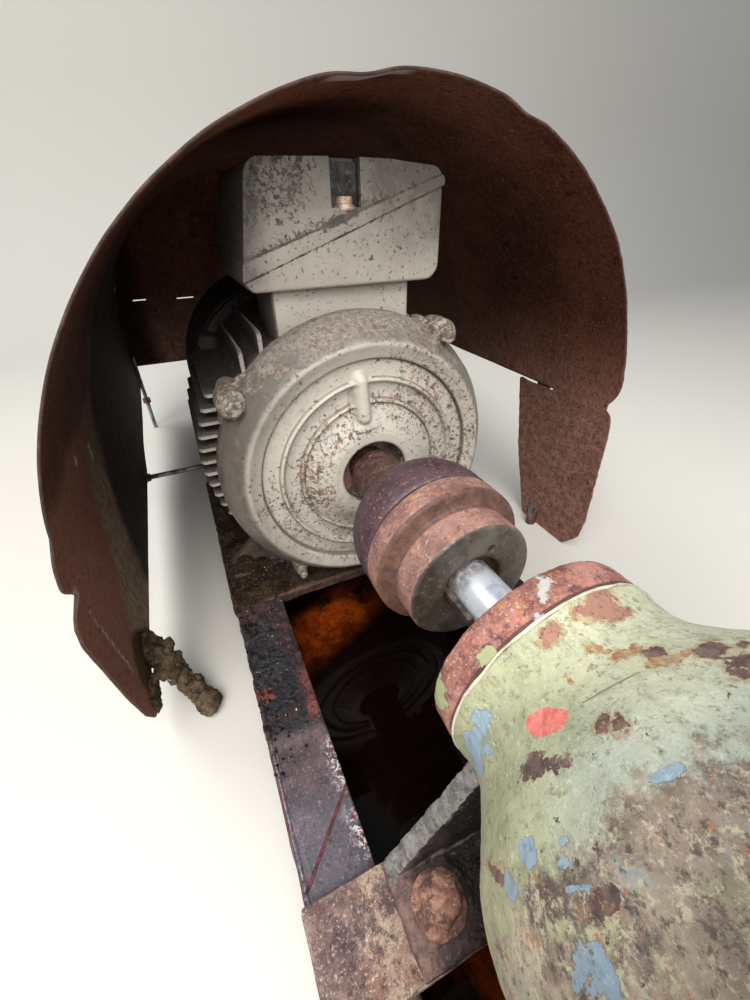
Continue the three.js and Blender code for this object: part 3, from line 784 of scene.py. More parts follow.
lug_iron, spot = finish("greased_lug")
grease = step(cloud(spot, 2.5, 6, 0.75, 0.3), 0.43, 0.55)
colour = blend(grease, "948b7d", blend(cloud(spot, 1.6, 4, 0.7), "332824", "6a5c52"))
coat(lug_iron, colour, 0.3 + grease * 0.25, 0.0, cloud(spot, 1.8, 6, 0.75) * 1.4, 0.6)


def hex_bolt(bm, seat, way, across, height, washer=0.0, turn=0.0):
    """A bolt head on its washer; seat is the point it bears on, way the side it points to."""
    seat, way = Vector(seat), Vector(way).normalized()
    if washer:
        rod(bm, seat - way, seat + way * 1.6, washer, 32)
        seat = seat + way * 1.6
    radius = across / math.sqrt(3)
    body = rod(bm, seat - way * 0.5, seat + way * height * 0.8, radius, 6)
    crown = rod(bm, seat + way * height * 0.8, seat + way * height, radius, 6, radius * 0.82)
    bmesh.ops.rotate(bm, verts=body + crown, cent=seat, matrix=Matrix.Rotation(math.radians(turn), 3, way))


def fasteners(name, material, fill, soft=0.4, rough=()):
    """One joined piece for a set of small fasteners that fill(bm) makes."""
    place(name, filled(name, fill, soft), material, rough=rough)


LUG_SIZES = (1.0, 1.0, 0.55, 0.8)
LUG_R = 141


def lug_ears(bm):
    for angle, share in zip(LUG_ANGLES, LUG_SIZES):
        y, z = around(angle, LUG_R)
        rod(bm, (-41.6, y, z), (-18, y, z), 13 * share, 28)
        rod(bm, (-18, y, z), (-14.6, y, z), 13 * share, 28, 10.5 * share)
        inner = around(angle, 126)
        rod(bm, (-40, *inner), (-20, *inner), 14 * share, 24)
        for aside in (-6, 6):
            y, z = around(angle + aside, 132)
            rod(bm, (-41, y, z), (-34, y, z), 13 * share, 24)


def shield_bolts(bm):
    for k, (angle, share) in enumerate(zip(LUG_ANGLES, LUG_SIZES)):
        y, z = around(angle, LUG_R)
        hex_bolt(bm, (-14.8, y, z), (1, 0, 0), 13.5 * share, 6.5, 9.4 * share, 17 * k)
        rod(bm, (-9, y, z), (-7.6, y, z), 5.2 * share, 20)
        rod(bm, (-8, y, z), (-7.2, y, z), 1.1, 12)


place(
    "shield_lugs", casting("shield_lugs", 1.6, 5, lug_ears), lug_iron,
    rough=[(9, 0.5), (3, 0.25)],
)
fasteners("shield_bolts", lug_iron, shield_bolts, 0.5, rough=[(4, 0.5)])

# FAN COWL AND FAR SHIELD
# The motor's far end has a plain iron shield under a pressed steel cowl, whose round inlet is
# closed by a wire grille. Both have the frame's paint, with more dust on top, and are painted dark
# all over as the hood's shade.
COWL_END = -452

far_shield_rings = spun_rings(eased([
    (0, -270.4), (139.6, -270.4), (139.6, -284), (138, -286), (138, -296), (110, -301.6), (0, -301.6),
], 1.5, 10), 96)
place(
    "far_shield_iron", loft("far_shield", far_shield_rings, ends=False), frame_paint,
    ["shield_far_end"],
)

cowl_track = eased([
    (138.9, -287.2), (138.9, -430), (135, -442), (118, -449.6), (80, -449.8), (80, -451.6), (119, -451.6),
    (137, -444), (140.4, -430), (140.4, -287.2), (138.9, -287.2),
], 8, 6)
place(
    "fan_cowl_sheet", turned("fan_cowl", cowl_track, 96), frame_paint, ["fan_cowl"], sharp=50,
)


def grille_wires(bm):
    for radius in range(14, 80, 11):
        for k in range(48):
            a, b = around(7.5 * k, radius), around(7.5 * (k + 1), radius)
            rod(bm, (COWL_END + 3, *a), (COWL_END + 3, *b), 1.2, 6)
    for angle in range(0, 180, 45):
        a, b = around(angle, 84), around(angle + 180, 84)
        rod(bm, (COWL_END + 4.6, *a), (COWL_END + 4.6, *b), 1.4, 8)


fasteners("cowl_grille", frame_paint, grille_wires, 0.0)

# TERMINAL BOX
# A cast box on a short pedestal. Its cover meets the base along a slanting line with a proud lip,
# and a screw stands in a slot in the cover's front. Dark curls of paint are lifting off it.
BOX_X = (-185, -45)
BOX_FACE = [
    (-80, 157), (80, 157), (88, 165), (88, 230), (82, 238), (40, 242), (0, 243), (-66, 242), (-73, 236),
    (-86, 164),
]
LIP_LOW = (-86, 164.6, 88, 225.5)
LIP_HIGH = (-74, 182.0, 88, 233.5)
LIP_BASE = (-86, 168.6, 88, 229.5)
LIP_COVER = (-74, 178.4, 88, 229.9)


def clip(outline, line, above):
    """The part of an outline above or below a line through two (y, z) points."""
    y0, z0, y1, z1 = line
    slope = (z1 - z0) / (y1 - y0)
    kept = []
    for a, b in zip(outline, outline[1:] + outline[:1]):
        over_a, over_b = [(p[1] - z0 - slope * (p[0] - y0)) * (1 if above else -1) for p in (a, b)]
        if over_a >= 0:
            kept.append(a)
        if over_a * over_b < 0:
            t = over_a / (over_a - over_b)
            kept.append((a[0] + (b[0] - a[0]) * t, a[1] + (b[1] - a[1]) * t))
    return kept


def rounded(outline, radius):
    """The outline with its corners turned into curves."""
    return [tuple(p) for p in eased(outline, radius, 6, closed=True)]


def drilled(mesh, fill):
    """The mesh with the closed shapes that fill(bm) makes cut out of it."""
    body = held(mesh)
    drill = held(filled("drill", fill))
    carve = body.modifiers.new("carve", "BOOLEAN")
    carve.object = drill
    carve.solver = "EXACT"
    result = settled(body)
    bpy.data.objects.remove(drill)
    return result


def shaved(name, fill, cut=None, soft=2.0, steps=3):
    """A sharp solid, with a cutter taken out of it and its edges rounded."""
    mesh = filled(name, fill)
    holder = held(drilled(mesh, cut) if cut else mesh)
    if soft:
        round_off = holder.modifiers.new("round", "BEVEL")
        round_off.width = soft / 1000
        round_off.segments = steps
        round_off.limit_method = "ANGLE"
        round_off.angle_limit = math.radians(28)
    return settled(holder)


def box_chips(y, z, spot):
    """Curls crowd the cover's upper left and the screw; dark lines mark both edges of the lip."""
    curls = near(y - (z - 0.228) * 0.5, -0.052, 0.014, 0.02) * step(z, 0.195, 0.215)
    lip = near(z - y * 0.33, 0.208, 0.001, 0.004) * step(y, 0.06, 0.02) * 0.5
    broken = step(cloud(spot, 6, 5, 0.75, 0.0, 33), 0.40, 0.56) * 0.55 + 0.4
    lines = most(near(z - y * 0.35, 0.1946, 0.0005, 0.0008), near(z - y * 0.318, 0.2056, 0.0005, 0.0008))
    patch = near(y, -0.004, 0.011, 0.008) * near(z - y * 0.36, 0.2052, 0.0008, 0.0035) * 1.25
    return curls * 0.5 + lip + lines * broken + patch + cloud(spot, 16, 3, 0.5, 0.0, 31) * 0.62


def box_painted_shade(y, z, sideways):
    """Painted shade: dark on the left side and along the left edge, which the hood shades, growing toward the
    top and the right of the box, with a little over all of the box above its pedestal.
    """
    shaded = most(step(sideways, -0.15, -0.6) * 0.95, step(y, -0.055, -0.084) * step(z, 0.15, 0.17) * 0.75)
    shaded = shaded + step(z, 0.165, 0.245) * 0.46
    shaded = shaded + step(y, -0.03, 0.08) * step(z, 0.15, 0.2) * 0.42
    return shaded + step(z, 0.152, 0.16) * 0.24


box_paint = motor_paint("box_paint", box_chips, 0.5, 30, 0.0, ("36332f", "5b4f47"), box_painted_shade)


def box_slice(outline, corner, proud=0.0):
    """Fills in a slice of the box from side to side; proud is how far it stands out of each."""
    return lambda bm: prism(bm, rounded(outline, corner), "x", BOX_X[0] - proud, BOX_X[1] + proud)


def screw_slot(bm):
    block(bm, BOX_X[1] - 15, BOX_X[1] + 5, -10.5, 14, 212, 260)


def pedestal(bm):
    block(bm, -128, -57, -64, 64, 112, 156.7)


base_mesh = shaved("box_base", box_slice(clip(BOX_FACE, LIP_BASE, False), 9), None, 3.6, 4)
place("box_base_cast", base_mesh, box_paint, ["box_base"])
lip_face = [(y * 1.01, 200 + (z - 200) * 1.01) for y, z in BOX_FACE]
lip_face = clip(clip(lip_face, LIP_LOW, True), LIP_HIGH, False)
lip_mesh = shaved("box_lip", box_slice(lip_face, 3, 0.9), None, 0.9)
place("box_lip", lip_mesh, box_paint)
cover_mesh = shaved("box_cover", box_slice(clip(BOX_FACE, LIP_COVER, True), 5), screw_slot, 2.6, 4)
place("box_cover_cast", cover_mesh, box_paint, ["box_cover"])
pedestal_mesh = shaved("box_pedestal", pedestal, None, 3)
place("box_pedestal_cast", pedestal_mesh, box_paint, ["box_pedestal"])

slot_dirt, spot = finish("slot_dirt")
soot = mottle(spot, "1f1d1b", "4a4743", 0.4, 0.62, 4, 6, 0.75)
soot = speckle(spot, soot, 1.4, "131211", "8d877f", 2.0)
coat(slot_dirt, soot, 0.7, 0.0, cloud(spot, 2, 5, 0.7), 0.6)


def slot_filling(bm):
    block(bm, BOX_X[1] - 15.4, BOX_X[1] - 6, -10.9, 14.4, 211.6, 240)
    block(bm, BOX_X[1] - 15, BOX_X[1] - 0.7, -10.9, -9.3, 211.6, 240)
    block(bm, BOX_X[1] - 15, BOX_X[1] - 0.7, 12.8, 14.4, 211.6, 240)


fasteners("cover_slot_dirt", slot_dirt, slot_filling, 0.6)

dull_brass, spot = finish("dull_brass")
tarnish = step(cloud(spot, 3, 5, 0.7), 0.40, 0.66)
coat(dull_brass, blend(tarnish, "dcbfae", "8a6a58"), 0.42 + tarnish * 0.3, 0.3, cloud(spot, 2, 4, 0.7), 0.2)


def cover_screw(bm):
    rod(bm, (BOX_X[1] - 5.5, 2, 210), (BOX_X[1] - 5.5, 2, 214), 8.0, 32)
    rod(bm, (BOX_X[1] - 5.5, 2, 213.8), (BOX_X[1] - 5.5, 2, 219), 6.4, 28)


fasteners("cover_screw", dull_brass, cover_screw, 0.8)

# MOTOR SHAFT AND COUPLING
# Two turned iron halves meet face to face between the motor's shaft and the pump's. They are
# bare: a purple-brown bloom on the motor's half, orange rust on the pump's, a dark faced end.
COUPLING_R = 58.3
KEY_TURN = 105

motor_half_iron, spot = finish("motor_half_iron")
x, y, z = axes(spot)
bloom = mottle(spot, "3b2b35", "554146", 0.36, 0.64, 12, 6, 0.62, 0.2)
bloom = dab(bloom, "6a4238", 0.8, spot, 0.55, 0.64, 4, 6, 0.75, 0.2, 7)
bloom = speckle(spot, bloom, 1.8, "33242a", "9a7a76", 4.0)
bloom = blend(
    step(x + (cloud(spot, 5, 4) - 0.5) * 0.03, 0.066, 0.05), bloom,
    rust(spot, 4, "352624", "5e423b", "82625a"),
)
bloom = dab(bloom, "c98f66", 0.8, spot, 0.66, 0.70, 0.9, 2, 0.5, 0.0, 6)
coat(motor_half_iron, bloom, 0.5, 0.1, cloud(spot, 1.4, 7, 0.75) + cloud(spot, 4, 5, 0.7), 0.4)

pump_half_iron, spot = finish("pump_half_iron")
x, y, z = axes(spot)
skin = mottle(spot, "6d4d48", "997468", 0.38, 0.62, 9, 6, 0.68, 0.2)
skin = dab(skin, "a06a4c", 0.75, spot, 0.52, 0.64, 3.4, 6, 0.75, 0.2, 4)
skin = speckle(spot, skin, 1.7, "523a38", "c4a595", 6.0)
skin = dab(skin, "df9a66", 0.8, spot, 0.65, 0.69, 0.9, 2, 0.5, 0.0, 10)
hollow = near(x, 0.1415, 0.0035, 0.002)
skin = blend(
    step(z + y * 0.8, -0.03, -0.07) * step(cloud(spot, 5, 6, 0.75, 0.2, 14), 0.44, 0.6) * 0.8, skin, "b06a3c",
)
skin = blend(hollow * 0.85, skin, rust(spot, 4, "3d2823", "654538", "8a5c46"))
radius = from_shaft(y, z)
turned_marks = radius.node(
    "ShaderNodeTexNoise", {"noise_dimensions": "1D"}, {"W": radius, "Scale": 2600, "Detail": 2},
)
faced = step(x, 0.1608, 0.1618) * step(radius, 0.0472, 0.0466)
dark_face = mottle(spot, "4f4a43", "746e62", 0.38, 0.62, 10, 5, 0.65, 0.2, 9)
dark_face = blend(step(y, 0.01, -0.04) * 0.75, dark_face, "352b25")
dark_face = dab(dark_face, "92806a", 0.7, spot, 0.54, 0.66, 2, 5, 0.75, 0.0, 3)
dark_face = dab(dark_face, "2c2a26", 0.7, spot, 0.58, 0.66, 2.4, 5, 0.75, 0.0, 5)
oiled = step(radius + (cloud(spot, 4, 5, 0.7) - 0.5) * 0.012, 0.027, 0.022)
dark_face = blend(oiled, dark_face, blend(cloud(spot, 1.5, 4, 0.7), "1c1611", "5c4730"))
coat(
    pump_half_iron, blend(faced, skin, dark_face), 0.66 - faced * 0.22, faced * 0.25,
    cloud(spot, 1.4, 7, 0.78) * (1 - faced * 0.6) + turned_marks * faced * 0.3, 0.4,
)

motor_half_track = eased([
    (19.3, 2.2), (23.6, 2.2), (24, 44), (26, 52), (35, 61), (46, 70.5), (53.6, 81), (57.3, 92),
    (COUPLING_R, 104), (COUPLING_R, 115), (57.2, 117.8), (19.3, 117.8), (19.3, 2.2),
], 3.5, 2.2)
place(
    "coupling_half_motor", turned("motor_half", motor_half_track, 168), motor_half_iron,
    ["coupling_motor_half"], rough=[(14, 0.3), (3, 0.12)], body="rotor",
)

pump_half_track = eased([
    (16.3, 119.2), (57, 119.2), (58.4, 121), (58.4, 137.6), (57, 139.8), (52.5, 141), (48.2, 142.6),
    (47.5, 146), (47.5, 164.6), (45.8, 166.8), (22.4, 166.8), (21.5, 165.6), (21.5, 162.6), (16.3, 162.4),
    (16.3, 119.2),
], 1.3, 1.6)


def coupling_holes(bm):
    rod(bm, (157, 11.4, 26.7), (172, 11.4, 26.7), 3.2, 24)
    key_way = block(bm, 112, 175, -5, 5, 8, 20.4)
    turn = Matrix.Rotation(math.radians(KEY_TURN), 3, "X")
    bmesh.ops.rotate(bm, verts=key_way, cent=(0, 0, 0), matrix=turn)


pump_half_mesh = drilled(turned("pump_half", pump_half_track, 168), coupling_holes)
place(
    "coupling_half_pump", pump_half_mesh, pump_half_iron, ["coupling_pump_half"],
    rough=[(14, 0.25)], body="rotor",
)

bright_steel, spot = finish("bright_shaft_steel")
x, y, z = axes(spot)
lathe_lines = spot.node(
    "ShaderNodeTexNoise", {"noise_dimensions": "1D"}, {"W": x, "Scale": 2200, "Detail": 3},
)
smear = step(cloud(spot, 7, 5, 0.65, 0.2), 0.50, 0.66)
spots = step(cloud(spot, 1.4, 4, 0.7, 0.0, 5), 0.64, 0.70)
steel = blend(smear * 0.65, "e0e4ec", "98a2b4")
steel = blend(step(x, 0.178, 0.166) * step(cloud(spot, 4, 5, 0.7, 0.0, 8), 0.36, 0.56) * 0.8, steel, "6b5a48")
coat(
    bright_steel, blend(spots * 0.7, steel, "5d4a3e"), 0.3 + smear * 0.1 + spots * 0.3, 0.5 - spots * 0.3,
    lathe_lines * 0.3 + cloud(spot, 4, 3, 0.6) * 0.3, 0.06,
)
pump_shaft_track = eased([(0, 119.8), (15.2, 119.8), (16, 121), (16, 295.5), (0, 295.5)], 0.6, 3)
place(
    "pump_shaft_bar", turned("pump_shaft", pump_shaft_track, 96), bright_steel,
    ["pump_shaft"], body="rotor",
)
dress("motor_shaft", motor_half_iron, 0.5)

key_steel, spot = finish("key_steel")
coat(key_steel, mottle(spot, "4c4a48", "8d7f74", 0.42, 0.6, 5, 5, 0.7), 0.4, 0.7, cloud(spot, 3, 5, 0.7), 0.2)
dress("shaft_key", key_steel, 0.8)

# HOOD
# Half of a steel drum stands over the motor as a rain hood: thin sheet, rusted dark red-brown
# all through, with a torn nick and a ragged corner at the left and dents along its rim.
DRUM_Y = 33
DRUM_Z = -4
DRUM_R = 286
SKIN = 2
HOOD_REAR = -760
ROOF_DENT = (97.6, 3.6, 2.6)
RIGHT_DENT = (71.8, 2.6, 2.4)
WALL_FRONT = [
    (-196, 22), (-194, 28), (-186, 44), (-160, 58), (-118, 69), (-76, 77), (-28, 84), (-13, 80), (-9.5, 69),
    (-7, 54), (-5, 55), (3, 64), (11, 70), (28, 66), (40, 54),
]
WALL_FOOT = [(-196, 22), (-181, 13), (-172, -5), (-165, -60), (-163, -400), (-142, -505), (-122, HOOD_REAR)]


def between(points, value):
    """The second number of a table, read at a value of the first."""
    points = sorted(points)
    if value <= points[0][0]:
        return points[0][1]
    for (a, fa), (b, fb) in zip(points, points[1:]):
        if value <= b:
            return fa + (fb - fa) * (value - a) / (b - a)
    return points[-1][1]


def hood_point(run, share):
    """A point on the sheet: run is the way up the right wall, over and down the left one."""
    arc = math.pi * DRUM_R
    if run <= arc:
        turn = run / DRUM_R
        y = DRUM_Y + DRUM_R * math.cos(turn)
        z = DRUM_Z + DRUM_R * math.sin(turn)
        way = Vector((0, math.cos(turn), math.sin(turn)))
    else:
        y = DRUM_Y - DRUM_R
        z = DRUM_Z - (run - arc)
        way = Vector((0, -1, 0))
    mouth = 35 - 0.076 * (y - DRUM_Y) - 0.079 * (z - DRUM_Z)
    if run < 200:
        corner = max(0, 1 - run / 48)
        mouth -= 3 * min(1, (200 - run) / 90) + 45 * (1 - math.sqrt(1 - corner ** 2))
    front = between(WALL_FRONT, z) if y < -100 and z < 40 else mouth
    back = between(WALL_FOOT, z) if run > arc and z < -122 else HOOD_REAR
    ragged = ripple(run / 9, 0, 1) * 0.7 + ripple(run / 45, 0, 5) * 0.8
    front += ragged
    angle = math.degrees(run / DRUM_R)
    x = back + (front - back) * share
    away = front - x
    push = 0.0
    for middle, width, depth in (ROOF_DENT, RIGHT_DENT):
        push -= depth * math.exp(-((angle - middle) / width) ** 2 - (away / 26) ** 2)
    push += 1.5 * ripple(x / 90, run / 90, 2) * min(1, away / 90)
    push += 0.35 * ripple(x / 30, run / 30, 4)
    return tuple(Vector((x, y, z)) + way * (push - 0.8))


def hood_finish(name, inside, streak=1.7):
    """Rusted drum sheet, dark under the roof and painted paler lower down where light falls; inside, painted
    light (partly dried mud) and a painted shadow on the left wall, painted highlights on its nick and on the
    roof's front lip, scratches, chips and caked mud.
    """
    material, spot = finish(name)
    x, y, z = axes(spot)
    hoop = spot.node("ShaderNodeMapping", {}, {0: spot, 3: (streak, 1 / streak, 1 / streak)})
    sheet = mottle(spot, "4a291d", "6d4132", 0.36, 0.64, 60, 6, 0.62, 0.3, 1)
    sheet = dab(sheet, "84503c", 0.5, hoop, 0.50, 0.66, 3, 7, 0.78, 0.2, 2)
    sheet = dab(sheet, "2c140d", 0.65, spot, 0.53, 0.64, 8, 7, 0.74, 0.3, 3)
    # Painted light: the sheet is painted paler lower down, where more light falls on the walls.
    low = step(z + (cloud(spot, 40, 4) - 0.5) * 0.1, 0.13, -0.07)
    pale = mottle(hoop, "725146", "a37f71", 0.38, 0.64, 4, 7, 0.78, 0.2, 5)
    sheet = blend(low * 0.8, sheet, pale)
    sheet = speckle(spot, sheet, 2.4, "361c13", "94624c")
    sheet = speckle(spot, sheet, 1.2, "2c1610", "a0745e", 12.0)
    sheet = dab(sheet, "c08a64", 0.8, spot, 0.66, 0.70, 1.2, 3, 0.6, 0.0, 4)
    if inside:
        left = step(y, -0.2425, -0.2475)
        drift = (cloud(spot, 22, 6, 0.72) - 0.5) * 0.07
        back_edge = x + drift + 0.112 + (z + 0.164) * (z + 0.164) * 1.9
        front_edge = x + drift + 0.095 + z * 0.72
        # Painted light: the left wall is painted lighter and redder all over, as if lit from the right.
        sheet = blend(left * 0.75, sheet, speckle(spot, "9c6a58", 2.4, "5c3226", "c79880", 5.0))
        # A pale band low on the left wall, behind its front strip: partly painted light falling on the wall,
        # partly dried mud.
        lit_mud_band = left * step(front_edge, 0.018, -0.012) * step(z, 0.035, 0.0)
        lit_mud_tone = mottle(hoop, "7a6450", "b8a488", 0.38, 0.60, 4, 7, 0.78, 0.0, 13)
        sheet = blend(lit_mud_band * 0.85, sheet, speckle(spot, lit_mud_tone, 2, "3a2a20", "c3b49c", 8.0))
        # Painted shadow: a dark zone further back on the left wall, where the hood's own shadow falls.
        wall_shadow = step(y, -0.17, -0.215) * step(back_edge, 0.008, -0.03)
        sheet = blend(wall_shadow * 0.88, sheet, mottle(spot, "150b08", "33201a", 0.42, 0.62, 9, 6, 0.72))
        line = (z - x * 6.2) + 0.352
        scratch = near(line + (cloud(spot, 5, 5, 0.7) - 0.5) * 0.09, 0.0, 0.008, 0.008)
        scratch = scratch * near(z, -0.074, 0.044, 0.006) * left
        scratch = scratch * step(cloud(spot, 1.7, 5, 0.78, 0.0, 6), 0.46, 0.56)
        chip = most(
            near(x, -0.13, 0.004, 0.003) * near(z, 0.0166, 0.007, 0.003),
            near(x, -0.0656, 0.003, 0.002) * near(z, 0.038, 0.004, 0.002),
        )
        # Painted highlight: a pale streak along the nick's lower edge at the wall's front, where it catches
        # the light; the scratch and the chips blended in with it are marks on the sheet.
        nick = near(z, -0.006, 0.003, 0.003) * step(x, 0.047, 0.056) * left
        sheet = blend(
            most(scratch * 0.85, nick * 0.8, chip * left * step(cloud(spot, 1.5, 4, 0.75), 0.44, 0.52)),
            sheet, "d2c6b4",
        )
        caked = spot.node(
            "ShaderNodeVectorMath", {"operation": "DISTANCE"}, {0: spot, 1: (0.002, -0.252, 0.068)}, out=1,
        )
        caked = step(caked + drift * 0.5, 0.036, 0.028)
        sheet = blend(caked, sheet, speckle(spot, "54432f", 2.2, "2a1d15", "8f7b60", 9.0))
        # Painted highlight: the roof's front lip, just inside the rim above the shaft, is painted pale, as if
        # it catches the light.
        roof = near(y, 0.0, 0.022, 0.01) * step(z, 0.2, 0.22)
        roof = roof * step(x + (cloud(spot, 5, 5, 0.7) - 0.5) * 0.01, 0.0005, 0.0035)
        sheet = blend(roof * 0.9, sheet, blend(cloud(spot, 2, 5, 0.7), "8a7777", "b5a6a3"))
    coat(
        material, sheet, 0.78, 0.0, cloud(spot, 2.4, 8, 0.8) * 1.3 + cloud(spot, 9, 4, 0.6), 0.9,
        Specular_IOR_Level=0.1,
    )
    return material


sheet_inside = hood_finish("drum_inside", True)
sheet_outside = hood_finish("drum_outside", False)
leg_rust = hood_finish("leg_rust", False, 1.0)
rim_bloom, spot = finish("drum_rim")
coat(rim_bloom, rust(spot, 7, "2c1a15", "4c322a", "7d6154"), 0.8, 0.0, cloud(spot, 3, 5, 0.7), 0.3)

run_end = math.pi * DRUM_R + 192
runs = [4 + (run_end - 4) * k / 270 for k in range(271)]
shares = [1 - (1 - k / 80) ** 1.4 for k in range(81)]
hood_mesh = loft("hood_sheet", [[hood_point(run, share) for share in shares] for run in runs], wrap=False)
hood = place("hood_sheet", hood_mesh, sheet_outside, ["hood_shell"], sharp=80)
hood.data.materials.append(sheet_inside)
hood.data.materials.append(rim_bloom)
sheet_steel = hood.modifiers.new("thickness", "SOLIDIFY")
sheet_steel.thickness = (SKIN - 0.2) / 1000
sheet_steel.offset = -1
sheet_steel.use_even_offset = True
sheet_steel.material_offset = 1
sheet_steel.material_offset_rim = 2

# HOOD BACK PLATE AND STAYS
# The drum's end plate closes the back of the hood to 145 mm over the ground, with two rusted slits.
# Cut sheet legs, straps, a tie bolt and threaded rods hold the hood down to the ground.
BACK_X = -756
BACK_EDGE = -72
SLITS = [(-211, -186, 60), (-126, -92, 57.5)]
LEG_Y = 317.2
LEG_SKIN = 1.9
STAY_Y = -247
STUD_AT = (-72, 309)

back_radius = DRUM_R - SKIN - 0.3
outline = [(DRUM_Y + back_radius, BACK_EDGE)]
for k in range(65):
    turn = math.pi * k / 64
    outline.append((DRUM_Y + back_radius * math.cos(turn), DRUM_Z + back_radius * math.sin(turn)))
outline.append((DRUM_Y - back_radius, BACK_EDGE))


def back_slits(bm):
    for y0, y1, z in SLITS:
        block(bm, BACK_X - 8, BACK_X + 8, y0, y1, z - 1.2, z + 1.2)


back_mesh = drilled(
    shaved("back", lambda bm: prism(bm, outline, "x", BACK_X - 1, BACK_X + 1), None, 0), back_slits,
)
place("hood_back_sheet", back_mesh, sheet_inside, ["hood_back_plate"])


def ragged_sheet(name, outline, axis_y, thick, step_size, wander, seed):
    """A flat sheet in an upright plane along the shaft, with torn edges."""
    edge = eased(outline, 5, step_size, closed=True)
    middle = sum(edge, Vector((0, 0))) / len(edge)
    rings = []
    for k, side in enumerate((-0.5, 0.5)):
        rings.append([])
        for p in edge:
            q = p + (p - middle).normalized() * wander * (ripple(p.x / 9, p.y / 9, seed) - 0.5)
            rings[k].append((q.x, axis_y + side * thick, q.y))
    return loft(name, rings)


leg_mesh = ragged_sheet("leg", [
    (-163, -2.6), (-97, -2.8), (-90, 5), (-14, 7), (5, -5), (9, -34), (16, -160), (12, -190),
    (-10, -216.6), (-100, -216.6), (-137, -117),
], LEG_Y, LEG_SKIN, 3, 1.4, 2)
place("hood_leg_sheet", leg_mesh, leg_rust, ["hood_leg_right"])
for node in ("leg_strap_front", "leg_strap_rear"):
    dress(node, sheet_outside, 0.8)

dull_steel, spot = finish("dull_stay_steel")
bare = step(cloud(spot, 12, 6, 0.7, 0.3), 0.45, 0.6)
coat(
    dull_steel, blend(bare, rust(spot, 8), "8b8b8d"), 0.62 - bare * 0.3, bare * 0.8, cloud(spot, 3, 6, 0.7),
    0.3,
)
for node in ("tie_bolt", "hood_rod_left", "hood_rod_right"):
    dress(node, dull_steel, 0.5)

caked_mud, spot = finish("caked_mud")
x, y, z = axes(spot)
colour = mottle(spot, "160f0c", "36281c", 0.40, 0.62, 8, 6, 0.74, 0.2)
colour = dab(colour, "4a3a28", 0.5, spot, 0.50, 0.62, 18, 5, 0.7, 0.0, 8)
splashed = step(y, -0.19, -0.205)
colour = blend(splashed * step(cloud(spot, 5, 6, 0.76, 0.0, 10), 0.36, 0.6) * 0.85, colour, "76654f")
colour = speckle(spot, colour, 1.5, "0e0908", "826d52", 2.0)
colour = dab(colour, "c4b49c", 0.85, spot, 0.65, 0.69, 1.1, 3, 0.7, 0.0, 4)
coat(
    caked_mud, colour, 0.66, 0.0, cloud(spot, 1.8, 8, 0.82) * 1.2 + cloud(spot, 5, 4, 0.6), 2.2,
    Specular_IOR_Level=0.12,
)


def lump(bm, x, y, z, rx, ry, rz):
    """A rounded clod with three half sizes."""
    size = Matrix.Diagonal((rx, ry, rz, 1))
    bmesh.ops.create_icosphere(bm, subdivisions=3, radius=1, matrix=Matrix.Translation((x, y, z)) @ size)


def stay_lumps(bm):
    pick = random.Random(12)
    rod(bm, (-12, STAY_Y, -150), (32, -208, -206), 10, 24, 9)
    for _ in range(34):
        t = pick.random()
        r = pick.uniform(4, 10)
        off = [pick.gauss(0, 4.5) for _ in range(3)]
        low = max(-210, -151 - 54 * t + off[2])
        lump(bm, -12 + 44 * t + off[0], STAY_Y + 39 * t + max(off[1], -2), low, r * 1.2, r * 0.8, r * 0.8)
    lump(bm, -16, STAY_Y, -156, 22, 5, 20)
    lump(bm, 24, -249, -178, 20, 4, 17)
    lump(bm, 34, -206, -206, 15, 13, 9)


place(
    "hood_stay_caked", casting("hood_stay", 1.5, 2, stay_lumps), caked_mud, ["hood_stay"],
    rough=[(9, 2.2), (3.5, 1.9)],
)


def clods(bm):
    lump(bm, 0, -234, -172, 10, 6, 6)
    lump(bm, 10, -231, -178, 9, 6, 5)


pale_clod, spot = finish("pale_clod")
coat(
    pale_clod, mottle(spot, "7b7267", "cbc2b4", 0.42, 0.58, 2.5, 5, 0.78), 0.5, 0.0, cloud(spot, 2, 7, 0.8),
    1.2,
)
place(
    "stay_clod", casting("stay_clod", 1.2, 2, clods), pale_clod, rough=[(6, 2.0), (2.5, 1.0)],
)


def leg_stud_bars(bm):
    rod(bm, (*STUD_AT, -216.8), (*STUD_AT, -186), 7.5, 24)
    rod(bm, (*STUD_AT, -187), (*STUD_AT, -182), 6, 20)


fasteners("leg_stud", dull_steel, leg_stud_bars, 0.6, rough=[(5, 0.6)])

# BEARING COVER AND SEAM
# The cover over the pump's front bearing is bare red-brown iron with a few flakes of old green
# paint. A cream bead of sealant lies in the seam between it and the housing.
COVER_X = 221
SEAM_X = 243
BEAD_R = 64.3
ROLL_R = 85


def unrolled(spot):
    """The surface round the shaft laid flat, as at ROLL_R: the way along it and round it, in mm."""
    x, y, z = axes(spot)
    turn = y.math("ARCTAN2", y, z)
    return spot.node("ShaderNodeCombineXYZ", {}, {0: x * 1000, 1: turn * ROLL_R})


def blot(flat, wander, along, degrees, length, width, turn):
    """An uneven spot on the unrolled surface: its place, half length, half width and turn."""
    local = flat.node(
        "ShaderNodeMapping",
        {"vector_type": "TEXTURE"},
        {
            0: flat, 1: (along, math.radians(degrees) * ROLL_R, 0),
            2: (0, 0, math.radians(turn)), 3: (length, width, 1),
        },
    )
    away = local.node("ShaderNodeVectorMath", {"operation": "LENGTH"}, {0: local}, out=1)
    return step(away + wander, 1.08, 0.94)


def blots(flat, wander, marks):
    """All the marks of one kind as one mask."""
    return most(*[blot(flat, wander, *mark) for mark in marks])


